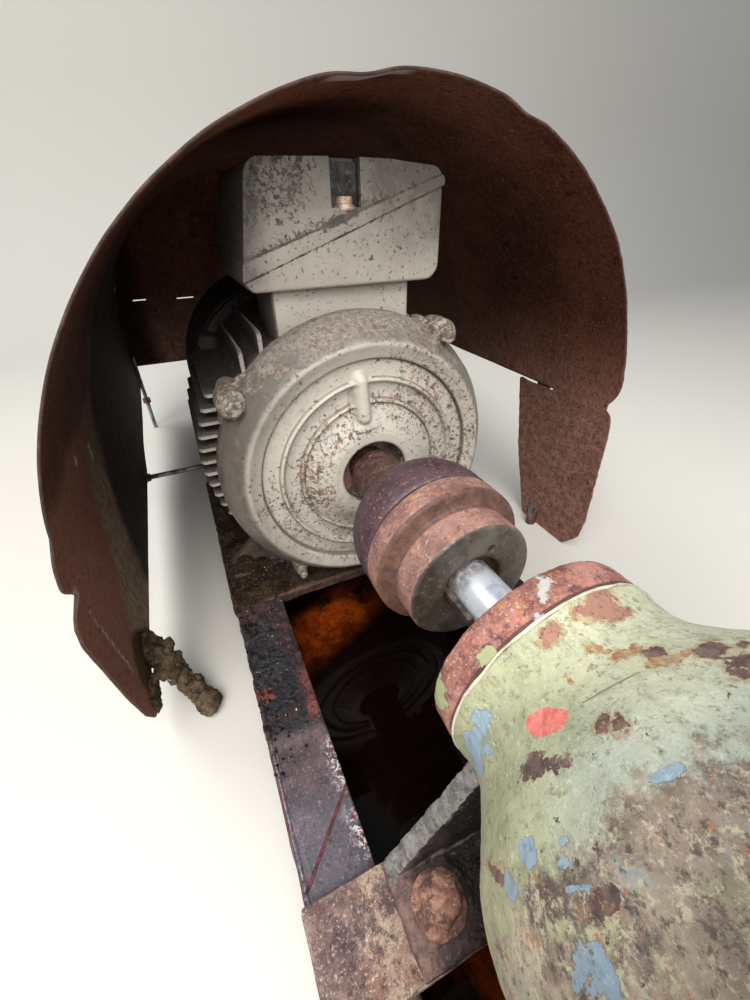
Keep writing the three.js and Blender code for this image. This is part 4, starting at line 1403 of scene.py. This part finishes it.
cover_iron, spot = finish("cover_iron")
x, y, z = axes(spot)
flat = unrolled(spot)
wander = (cloud(spot, 3, 6, 0.75) - 0.5) * 2.4
scale = mottle(spot, "824f47", "bb8579", 0.38, 0.60, 10, 6, 0.68, 0.3)
scale = dab(scale, "c08470", 0.85, spot, 0.48, 0.60, 3, 6, 0.78, 0.2, 3)
scale = dab(scale, "583639", 0.9, spot, 0.51, 0.62, 4.5, 6, 0.75, 0.3, 5)
scale = blend(near(y, -0.025, 0.02, 0.03) * step(x, 0.240, 0.226) * 0.45, scale, "6e3f37")
scale = dab(scale, "bf7f48", 0.85, spot, 0.55, 0.63, 2.2, 5, 0.8, 0.0, 7)
scale = speckle(spot, scale, 1.3, "5a3538", "e2c6bb", 9.0)
scale = blend(near(x, 0.2415, 0.0006, 0.0012) * 0.8, scale, "3c2420")
green = blots(
    flat, wander,
    [(239.5, -49.3, 7, 4, -89), (226.5, -86, 15, 8.5, -89), (230, 70, 9, 5, 20), (236, 150, 11, 6, 70)],
)
grey = blots(
    flat, wander * 1.3, [(232.5, -12.4, 9, 3.4, -59), (241, -22.7, 4, 1.8, 82), (228, -8, 5, 2.2, 40)],
)
grey = grey * step(cloud(spot, 2.4, 4, 0.75, 0.0, 2), 0.40, 0.50)
colour = blend(green, scale, blend(cloud(spot, 4, 5, 0.75), "8f946c", "b9bb92"))
colour = blend(grey * 0.9, colour, "bdbbb6")
height = cloud(spot, 2, 8, 0.78) * 1.2 + green * 1.0 + grey * 0.5
coat(cover_iron, colour, 0.72, 0.0, height, 0.8)

cover_track = eased([
    (16.3, COVER_X + 0.2), (60, COVER_X + 0.2), (63.6, COVER_X + 2.4), (64.4, COVER_X + 6),
    (64.4, SEAM_X - 1.4), (63.4, SEAM_X - 0.4), (16.3, SEAM_X - 0.4), (16.3, COVER_X + 0.2),
], 1.6, 1.8)
place(
    "bearing_cover_iron", turned("bearing_cover", cover_track, 220), cover_iron,
    ["bearing_cover"], rough=[(9, 0.55), (3, 0.3)], sharp=60,
)

sealant, spot = finish("cream_sealant")
coat(sealant, mottle(spot, "aca286", "dfd9c4", 0.38, 0.62, 9, 5, 0.7), 0.5, 0.0, cloud(spot, 3, 4), 0.3)
rings = []
for k in range(300):
    angle = 360 * k / 300
    swell = 0.85 + 0.3 * ripple(angle / 7, 0, 0) - 0.5 * max(0, ripple(angle / 25, 4, 0))
    shift = 0.6 * ripple(angle / 14, 9, 0)
    ring = []
    for i in range(10):
        a = 2 * math.pi * i / 10
        y, z = around(angle, BEAD_R + swell * math.sin(a))
        ring.append((SEAM_X + shift + swell * math.cos(a), y, z))
    rings.append(ring)
rings.append(rings[0])
place("seam_bead", loft("seam_bead", rings, ends=False), sealant)

# BEARING HOUSING
# The long cast bell that carries the pump's bearings and flares out to the casing's flange. Its
# thick pale green paint is crazed and flaking: rust shows through it, and older blue and pink.
HOUSING_STEPS = [
    (0, 300), (16.3, 300), (16.3, SEAM_X + 0.3), (63.6, SEAM_X + 0.3), (64.8, SEAM_X + 1.4),
    (64.6, SEAM_X + 5), (63.5, SEAM_X + 9), (63.5, 261), (66.8, 270.5), (73, 280), (80, 288.4), (87, 298),
    (92, 309), (95.5, 322), (97.6, 337), (100, 346), (106, 353), (114, 356), (147, 356.2), (148, 357.4),
    (148, 371), (147, 371.8), (0, 371.8),
]
RUST_MARKS = [
    (287.6, -52.3, 12.2, 4.0, 68), (290.4, -32.4, 3.4, 2.0, -62), (294.4, -29.9, 3.3, 2.2, -48),
    (301.2, -77.5, 9.5, 2.2, 60), (250.5, -24.3, 6.3, 3.6, 88), (249.9, 1.6, 13.1, 6.4, -89),
    (256.5, 5, 9, 3.8, -86), (279.8, -4.6, 4.6, 2.4, 81), (290.7, 2.7, 8.4, 3.6, -71),
    (300, 0.5, 7.5, 4.6, -81), (294.3, 9.7, 6.5, 1.6, -73), (322.2, -52.7, 4.6, 2.6, 79),
    (262, 120, 10, 6, 40), (300, 95, 16, 9, 10), (280, 170, 18, 10, 80), (272, -140, 16, 9, 30),
]
OCHRE_MARKS = [
    (266, -16.3, 10, 3.2, 48), (274, -12, 9, 3.0, 82), (286, -6, 9, 2.4, 76), (270, -31, 3, 1.6, 0),
]
BLUE_MARKS = [
    (254.6, -69, 8.3, 3.8, 78), (257, -82.7, 13.7, 6.6, 84), (263, -90, 14, 3.6, 77),
    (264.4, -76.2, 7.5, 2.0, 70), (306.5, -72.5, 6.2, 3.2, 60), (303.7, -63.1, 4.6, 2.5, 76),
    (307.6, -53.6, 2.2, 1.3, 88), (311.4, -55.5, 2.6, 1.3, 72), (317.6, -54.7, 4.1, 1.0, 66),
    (329.2, -61.5, 4.6, 2.2, -62), (332.4, -57.6, 4.4, 2.0, -8), (333.4, -60.5, 4.3, 1.7, 80),
    (311.1, -30.4, 4.4, 1.3, 80), (320, 70, 14, 6, 60),
]
PINK_MARKS = [(276.3, -44.9, 11.0, 4.8, 67)]

housing_paint, spot = finish("housing_paint")
x, y, z = axes(spot)
flat = unrolled(spot)
wander = (cloud(spot, 6, 4, 0.7) - 0.5) * 3.8 + (cloud(spot, 2.4, 4, 0.75, 0.0, 51) - 0.5) * 2.2
warp = spot.node("ShaderNodeMapping", {}, {0: spot, 3: (0.55, 1.0, 1.0)})
green = mottle(spot, "a3a786", "bfc19d", 0.36, 0.62, 20, 5, 0.65, 0.3)
cool = step(x + (cloud(spot, 24, 5, 0.65, 0.0, 3) - 0.5) * 0.09 + z * 0.22 + y * 0.25, 0.268, 0.302)
turn = y.math("ARCTAN2", y, z)
cool = cool * step(turn, -1.05, -0.8)
green = blend(cool * 0.85, green, blend(cloud(spot, 12, 5, 0.6, 0.0, 6), "a3ab9f", "bcc4b8"))
# Painted highlight: the upper left of the housing near the seam is painted a paler yellow-green, where the
# light falls brightest.
green = blend(step(turn, -0.7, -0.25) * step(x, 0.315, 0.29) * 0.75, green, "d4d4b4")
green = blend(step(turn, -1.0, -1.35) * 0.4, green, "a09c74")
green = dab(green, "b09c74", 0.35, spot, 0.54, 0.68, 12, 6, 0.7, 0.3, 41)
green = dab(green, "838568", 0.55, warp, 0.50, 0.64, 2.4, 7, 0.78, 0.4, 8)
green = dab(green, "a39a68", 0.5, spot, 0.58, 0.66, 7, 6, 0.75, 0.4, 23)
green = speckle(spot, green, 1.6, "7a7860", "d6d9c8", 11.0)
stain = blots(flat, wander * 1.3, OCHRE_MARKS)
halo = blots(flat, wander - 0.5, RUST_MARKS[1:12])
warm = most(stain, halo * 0.6) * step(cloud(spot, 3, 6, 0.78, 0.2, 27), 0.34, 0.58)
ochre = mottle(spot, "9c5626", "c4924e", 0.42, 0.6, 3, 5, 0.75)
green = blend(warm * 0.85, green, speckle(spot, ochre, 1.5, "50301e", "cdb478", 13.0))
bare_iron = rust(spot, 4, "5e4a47", "8a7066", "b08c72", 14.0)
bare_iron = blend(step(x, 0.272, 0.256) * 0.85, bare_iron, blend(cloud(spot, 3, 5, 0.75), "a8705c", "cda08a"))
bare_iron = speckle(spot, bare_iron, 1.5, "43302f", "c79a70", 15.0)
crusty = mottle(spot, "62504c", "b8a692", 0.42, 0.56, 22, 6, 0.7, 0.4, 61)
crusty = dab(crusty, "b6b48c", 0.85, spot, 0.50, 0.58, 7, 6, 0.76, 0.5, 62)
upper = step(turn + (cloud(spot, 14, 5, 0.7, 0.0, 71) - 0.5) * 0.7, -0.92, -0.62)
crowded = cloud(spot, 5, 6, 0.78, 0.3, 63) + (cloud(spot, 24, 4, 0.6, 0.0, 67) - 0.5) * 0.4
crowded = crowded + upper * 0.02 - 0.02
crusty = blend(step(crowded, 0.55, 0.62) * 0.85, crusty, "4e3c40")
crusty = blend(upper * 0.55, crusty, mottle(spot, "5c4844", "86746a", 0.42, 0.58, 9, 6, 0.74, 0.3, 72))
crusty = dab(crusty, "98a6a6", 0.6, spot, 0.56, 0.64, 8, 5, 0.75, 0.3, 64)
crusty = dab(crusty, "d0c8a8", 0.8, spot, 0.52, 0.60, 3, 6, 0.8, 0.2, 65)
crusty = dab(crusty, "b8733f", 0.85, spot, 0.57, 0.64, 2.6, 5, 0.78, 0.0, 66)
crusty = speckle(spot, crusty, 1.6, "40302f", "d2c8b2", 17.0)
coverage = x + (cloud(spot, 16, 7, 0.74, 0.3, 2) - 0.5) * 0.07
coverage = coverage + (cloud(spot, 4, 6, 0.78, 0.2, 7) - 0.5) * 0.03
worn = step(coverage, 0.306, 0.318)
peeled = blots(flat, wander, RUST_MARKS)
blue = blots(flat, wander, BLUE_MARKS) * step(cloud(spot, 2, 4, 0.75, 0.0, 35), 0.34, 0.40)
pink = blots(flat, wander * 0.35, PINK_MARKS)
crease = blot(flat, wander * 0.2, 282.3, -24, 12.4, 0.45, 82)
small = step(cloud(spot, 2.4, 5, 0.75, 0.3, 15) + step(x, 0.27, 0.31) * 0.03, 0.655, 0.675)
lost = most(peeled, small) * (1 - blue)
colour = blend(worn * 0.96 * (1 - blue), green, crusty)
colour = blend(lost, colour, bare_iron)
colour = blend(crease * 0.6, colour, "6a6650")
colour = blend(blue, colour, speckle(spot, "93a7b6", 1.8, "7488a0", "b4c4cd", 19.0))
colour = blend(pink, colour, mottle(spot, "d9655c", "ec8a80", 0.40, 0.58, 1.6, 5, 0.78))
pitted = cloud(warp, 1.5, 8, 0.8, 0.5, 21) + cloud(spot, 4, 4, 0.6, 0.0, 22) * 1.1
pitted = pitted + cloud(spot, 9, 2, 0.5, 0.0, 24) * 1.4
height = pitted - crease * 1.5 - most(lost, worn * 0.5) * 1.0 - blue * 0.5
height = height + most(lost, worn) * cloud(spot, 2.4, 6, 0.78, 0.0, 4) * 1.6
coat(housing_paint, colour, 0.5 + most(lost, worn) * 0.25 + warm * 0.1, 0.0, height, 1.1)

housing_track = eased(HOUSING_STEPS[:3], 1, 20) + eased(HOUSING_STEPS[3:19], 6, 1.6)
housing_track += eased(HOUSING_STEPS[19:], 1, 12)
place(
    "housing_bell", turned("housing", housing_track, 300), housing_paint, ["bearing_housing"],
    rough=[(34, 1.2), (11, 0.5), (4, 0.28)], sharp=60,
)

# SUPPORT FOOT
# A cast foot under the bearing housing: an upright web with a rough grey top edge on a long pad.
# It is bolted through the plate into the rails by big, round-worn, rusty heads.
FOOT_BOLT = (278, 84)

foot_iron, spot = finish("foot_iron")
x, y, z = axes(spot)
upward = parts(spot.node("ShaderNodeTexCoord", out=1))[2]
out = abs(y)
iron = mottle(spot, "2b2226", "4f3d3a", 0.40, 0.60, 8, 6, 0.7, 0.3)
worn_pad = mottle(spot, "5c4540", "866a60", 0.4, 0.6, 6, 6, 0.75, 0.2, 5)
iron = blend(step(out + (cloud(spot, 6, 5, 0.75) - 0.5) * 0.02, 0.090, 0.098), iron, worn_pad)
iron = blend(step(out + (cloud(spot, 7, 5, 0.75) - 0.5) * 0.02, 0.074, 0.064), iron, "1e191a")
iron = speckle(spot, iron, 1.6, "1f1719", "93827a", 3.0)
crest = step(x + (cloud(spot, 3, 5, 0.75) - 0.5) * 0.004, 0.2592, 0.2582) * step(upward, 0.1, 0.45)
stone = mottle(spot, "59544f", "8c8883", 0.38, 0.60, 4, 6, 0.75, 0.0, 9)
stone = speckle(spot, stone, 1.4, "2c2622", "b5b0a8", 11.0)
iron = blend(crest, iron, stone)
coat(foot_iron, iron, 0.66, 0.0, cloud(spot, 2, 8, 0.78), 1.2)


def foot_lumps(bm):
    block(bm, 246, 302, -106, 106, PLATE_TOP + 0.4, PLATE_TOP + 14)
    web = [(-105, -137), (105, -137), (105, -126), (52, -42), (52, -10), (-52, -10), (-52, -42), (-105, -126)]
    prism(bm, web, "x", 246, 258)
    for s in (-1, 1):
        x, y = FOOT_BOLT[0], s * FOOT_BOLT[1]
        rod(bm, (x, y, PLATE_TOP + 6), (x, y, PLATE_TOP + 18), 21, 32)


place(
    "support_foot_cast", casting("support_foot", 2.2, 3, foot_lumps), foot_iron,
    ["support_foot"], rough=[(12, 1.0), (4, 0.8)],
)

bolt_rust, spot = finish("bolt_rust")
colour = rust(spot, 4.5, "724e42", "b78870", "e0b494")
colour = dab(colour, "4b3233", 0.85, spot, 0.52, 0.60, 3.4, 6, 0.75, 0.3, 8)
colour = dab(colour, "e0bfa4", 0.8, spot, 0.58, 0.66, 1.3, 4, 0.8, 0.0, 12)
coat(bolt_rust, colour, 0.72, 0.0, cloud(spot, 2, 8, 0.78), 1.1)


def foot_bolts(bm):
    for s in (-1, 1):
        x, y, z = FOOT_BOLT[0], s * FOOT_BOLT[1], PLATE_TOP + 18
        rod(bm, (x, y, z - 2), (x, y, z + 3.6), 16.6, 40)
        hex_bolt(bm, (x, y, z + 3), (0, 0, 1), 22.5, 14, 0, 20)


place(
    "foot_bolts", casting("foot_bolts", 1.1, 7, foot_bolts), bolt_rust,
    rough=[(10, 0.9), (3, 0.4)],
)

# CASING
# The volute and its priming chamber are one iron casting, with an outlet on top, an inlet in its
# far end, two feet and a flange bolted to the housing. It wears the same flaking green paint.
CASE_X0 = 372.4
CASE_R = 129
OUT_X = 462
IN_Z = 95
BORE_R = 40

casing_paint, spot = finish("casing_paint")
green = mottle(spot, "969a7a", "acae8c", 0.36, 0.62, 50, 5, 0.6, 0.3)
green = dab(green, "98a296", 0.8, spot, 0.46, 0.62, 70, 5, 0.6, 0.0, 6)
green = dab(green, "a8966e", 0.4, spot, 0.52, 0.66, 14, 6, 0.7, 0.3, 41)
green = dab(green, "7c7e60", 0.5, spot, 0.50, 0.66, 4, 7, 0.78, 0.5, 8)
green = speckle(spot, green, 1.8, "74705a", "cdd0be", 11.0)
patchy = cloud(spot, 70, 7, 0.68, 0.4, 2) + cloud(spot, 8, 6, 0.75, 0.3, 7) * 0.35
gone = step(patchy, 0.705, 0.725)
crusted = step(patchy + (cloud(spot, 5, 6, 0.78, 0.2, 9) - 0.5) * 0.22, 0.655, 0.69)
crusty = mottle(spot, "6a5853", "a89a84", 0.44, 0.56, 7, 6, 0.76, 0.5, 62)
crusty = dab(crusty, "b4b08c", 0.8, spot, 0.52, 0.60, 3, 6, 0.8, 0.2, 65)
crusty = dab(crusty, "a86a3c", 0.8, spot, 0.57, 0.64, 2.6, 5, 0.78, 0.0, 66)
colour = blend(crusted, green, speckle(spot, crusty, 1.8, "40302f", "cbbfa6", 17.0))
bare_iron = speckle(spot, rust(spot, 6, "4a3330", "6e4e46", "9a684c"), 1.8, "2c1e1e", "b08c74", 5.0)
colour = blend(gone, colour, bare_iron)
older = step(cloud(spot, 24, 5, 0.68, 0.3, 31), 0.645, 0.655)
older = older * step(cloud(spot, 2, 4, 0.75, 0.0, 35), 0.36, 0.42)
colour = blend(older, colour, speckle(spot, "8a9eac", 1.8, "70849a", "aebec8", 19.0))
lost = most(gone, crusted * 0.5)
height = cloud(spot, 5, 8, 0.75) - lost * 1.2 - older * 0.4 + lost * cloud(spot, 2.4, 6, 0.78, 0.0, 4) * 1.4
coat(casing_paint, colour, 0.54 + lost * 0.22, 0.0, height, 0.9)


def casing_lumps(bm):
    rod(bm, (CASE_X0, 0, 0), (CASE_X0 + 17, 0, 0), 148, 120)
    rod(bm, (CASE_X0, 0, 0), (542, 0, 0), CASE_R, 120)
    rod(bm, (542, 0, 0), (569, 0, 0), CASE_R, 120, 102)
    chamber = [(-128, 0), (128, 0), (128, 128), (116, 156), (88, 168), (-88, 168), (-116, 156), (-128, 128)]
    prism(bm, chamber, "x", CASE_X0 + 14, 574.6)


def casing_ports(bm):
    rod(bm, (520, 0, IN_Z), (600, 0, IN_Z), BORE_R, 48)
    rod(bm, (OUT_X, 0, 60), (OUT_X, 0, 200), BORE_R, 48)


casing_mesh = drilled(casting("casing", 4.2, 6, casing_lumps), casing_ports)
place("casing_cast", casing_mesh, casing_paint, ["casing"], rough=[(40, 1.2), (10, 0.5)])
for node in ("inlet_neck", "outlet_neck", "casing_foot_left", "casing_foot_right"):
    dress(node, casing_paint, 1.4, 30)

plug_metal, spot = finish("weathered_plug_brass")
colour = mottle(spot, "4a3c24", "84693c", 0.40, 0.60, 7, 6, 0.7, 0.3)
colour = dab(colour, "5c7264", 0.7, spot, 0.55, 0.62, 4, 6, 0.75, 0.2, 5)
colour = speckle(spot, colour, 1.5, "241c12", "a8905c", 3.0)
coat(plug_metal, colour, 0.55, 0.5, cloud(spot, 3, 7, 0.78), 0.5)
for node in ("filler_plug", "drain_plug"):
    dress(node, plug_metal, 1.0)


def flange_bolts(bm):
    for k in range(8):
        y, z = around(22.5 + 45 * k, 137.5)
        hex_bolt(bm, (356, y, z), (-1, 0, 0), 17, 8, 11, 10 * k)
        hex_bolt(bm, (CASE_X0 + 16.6, y, z), (1, 0, 0), 17, 9, 11, 13 * k)


fasteners("flange_bolts", bolt_rust, flange_bolts, 0.6)

# SMALL FASTENERS
# Hexagon bolts hold the motor's feet, the casing's feet, the hood's straps and the tie bolt. All
# are plain steel: mud hides the motor's, and the rest are rusted to different browns.


def motor_feet_bolts(bm):
    for x in FOOT_X:
        for s in (-1, 1):
            hex_bolt(bm, (x + 15, s * 136, PLATE_TOP + 13.6), (0, 0, 1), 17, 9, 12, 25)


def casing_feet_bolts(bm):
    for s in (-1, 1):
        for x in (444, 501):
            hex_bolt(bm, (x, s * 132, PLATE_TOP + 13.8), (0, 0, 1), 19, 10, 13, 12)


def strap_bolts(bm):
    for x in (-20, -116):
        for z in (12, -24):
            hex_bolt(bm, (x, DRUM_Y + DRUM_R + 2.8, z), (0, 1, 0), 10, 4.5, 7, 15)
    hex_bolt(bm, (-380, -251, -154), (0, 1, 0), 13, 7, 9, 8)


fasteners("motor_feet_bolts", caked_mud, motor_feet_bolts, 0.5)
fasteners("casing_feet_bolts", bolt_rust, casing_feet_bolts, 0.5)
fasteners("strap_bolts", dull_steel, strap_bolts, 0.4)

# MUD AND TAR
# Gritty mud has caked over the motor's left foot, its plate and the rail beside it. Black tarry
# grime runs on along the rail, and crumbs of both lie about the feet.
CRUST_FLOOR = -153.8


def ground_level(x, y):
    """The height of the iron under the mud: rail, plate or foot."""
    if 84 < abs(y) < 152 and any(abs(x - foot) < 26 for foot in FOOT_X):
        return PLATE_TOP + 14
    if -120 < x < -14 or -300 < x < -205:
        return PLATE_TOP
    return RAIL_TOP


def crust(name, x_span, y_span, cell, depth, material):
    """A closed skin of dirt that lies depth(x, y) deep over the iron."""
    columns = round((x_span[1] - x_span[0]) / cell)
    rows = round((y_span[1] - y_span[0]) / cell)
    rings = []
    for i in range(columns + 1):
        x = x_span[0] + cell * i
        ring = []
        for j in range(rows + 1):
            y = y_span[0] + cell * j
            around_here = [ground_level(x + a, y + b) for a in (-4, 0, 4) for b in (-4, 0, 4)]
            level = 0.5 * sum(around_here) / 9 + 0.5 * max(around_here)
            ring.append((x, y, level + depth(x, y)))
        edge = 1.6 * ripple(x / 8, y_span[0], 3)
        ring[0] = (x, y_span[0] + edge, min(ring[0][2], -146))
        ring = [(p[0], p[1], max(p[2], -153.4)) for p in ring]
        ring.append((x, y_span[1] - 1, CRUST_FLOOR))
        ring.append((x, y_span[0] + 1 + edge, CRUST_FLOOR))
        rings.append(ring)
    place(name, loft(name, rings), material, sharp=70)


def mud_depth(x, y):
    here = Vector((x, y, 0))
    deep = 2.2 + 4.4 * noise.noise(here / 26) + 2.8 * noise.noise(here / 8) + 2.6 * noise.noise(here / 3.2)
    if -86 < x < -74 and y > -122:
        deep += min(26, (y + 122) * 0.9)
    hollow = math.hypot(x + 65, y + 136)
    deep -= 3.5 * math.exp(-(hollow / 13) ** 2)
    return deep - 0.5 * max(0, x + 22)


def tar_depth(x, y):
    here = Vector((x, y, 4))
    fade = max(0, min(1, (118 - x) / 60))
    side = max(0, y + 117) * 0.4
    lumpy = 3.2 * noise.noise(here / 18) + 3.4 * noise.noise(here / 6) + 2.2 * noise.noise(here / 2.9)
    wet_lump = 6.5 * math.exp(-((x - 112) / 8) ** 2 - ((y + 134) / 13) ** 2)
    return 2.4 * fade + lumpy * (0.35 + 0.65 * fade) - (1 - fade) * 2.2 - side * 0.4 + wet_lump


crust("motor_mud", (-300, -15), (-159.5, -90), 1.6, mud_depth, caked_mud)

tar_grime, spot = finish("tar_grime")
x, y, z = axes(spot)
colour = mottle(spot, "0a090b", "26242b", 0.42, 0.60, 4, 6, 0.75, 0.2)
# Pale bluish-grey grains among black ones: partly grit, partly painted glints on the wet tar.
colour = speckle(spot, colour, 1.3, "050406", "6a6a74", 1.0)
warm_edge = step(y + (cloud(spot, 6, 6, 0.75) - 0.5) * 0.05 - x * 0.12, -0.134, -0.122)
warm_edge = most(warm_edge, step(cloud(spot, 12, 6, 0.74, 0.0, 8), 0.55, 0.62), step(x, 0.012, -0.004))
colour = blend(
    warm_edge * 0.8, colour,
    speckle(spot, rust(spot, 4, "1f1212", "47241f", "74402f"), 1.5, "120a0a", "8a6a5c", 2.0),
)
red_spot = spot.node(
    "ShaderNodeVectorMath", {"operation": "DISTANCE"}, {0: spot, 1: (0.093, -0.150, 0.067)}, out=1,
)
red_spot = step(red_spot + (cloud(spot, 4, 5, 0.75) - 0.5) * 0.03, 0.013, 0.008)
inner = near(x, 0.104, 0.016, 0.012) * step(y + (cloud(spot, 5, 5, 0.75) - 0.5) * 0.02, -0.121, -0.113)
red_spot = most(red_spot, inner * 0.85)
colour = blend(red_spot, colour, mottle(spot, "451a1a", "8e4438", 0.44, 0.6, 2.4, 5, 0.78))
# Painted glints: tiny near-white dots stand in for wet glints on the tar.
colour = mottle(spot, colour, "e6ddd0", 0.70, 0.73, 1.1, 2, 0.5, 0.0, 12)
coat(
    tar_grime, colour, 0.3 + warm_edge * 0.34, 0.0, cloud(spot, 1.4, 7, 0.8) + cloud(spot, 4, 4, 0.6) * 0.8,
    2.2,
)
crust("rail_tar", (-14, 128), (-157.5, -108.5), 1.4, tar_depth, tar_grime)


def crumbs(name, count, seed, spread, sizes, material):
    """Loose grains: spread(pick) gives a place for each, sizes its least and greatest radius."""
    pick = random.Random(seed)

    def heap(bm):
        for _ in range(count):
            spot_at = Vector(spread(pick))
            r = sizes[0] + (sizes[1] - sizes[0]) * pick.random() ** 2
            turn = Euler([pick.uniform(0, 6.28) for _ in range(3)]).to_matrix().to_4x4()
            shape = Matrix.Diagonal((r, r * pick.uniform(0.6, 1), r * pick.uniform(0.5, 0.9), 1))
            lie = Matrix.Translation(spot_at) @ turn @ shape
            for point in bmesh.ops.create_icosphere(bm, subdivisions=1, radius=1, matrix=lie)["verts"]:
                point.co += (point.co - spot_at) * pick.uniform(-0.25, 0.25)

    place(name, filled(name, heap), material, sharp=70)


def over_rail(pick):
    x = pick.uniform(-130, 40) if pick.random() < 0.75 else pick.uniform(40, 160)
    y = min(-157 + abs(pick.gauss(0, 1)) * 14, -110)
    return x, y, ground_level(x, y) + 1.5 + max(0, mud_depth(x, y) if x < -15 else tar_depth(x, y))


def over_foot(pick):
    x = pick.uniform(261, 300)
    y = -72 + 68 * pick.random() ** 1.3
    if math.hypot(x - FOOT_BOLT[0], y + FOOT_BOLT[1]) < 21:
        x = 299
    return x, y, PLATE_TOP + 14.6


def over_plate(pick):
    x = pick.uniform(-150, -17)
    y = -158 + 64 * pick.random()
    return x, y, ground_level(x, y) + 0.6 + max(0, mud_depth(x, y))


crumbs("plate_crumbs", 1500, 7, over_plate, (0.5, 2.0), caked_mud)
crumbs("rail_crumbs", 420, 4, over_rail, (0.5, 2.2), caked_mud)
crumbs("foot_crumbs", 460, 9, over_foot, (0.7, 2.8), tar_grime)
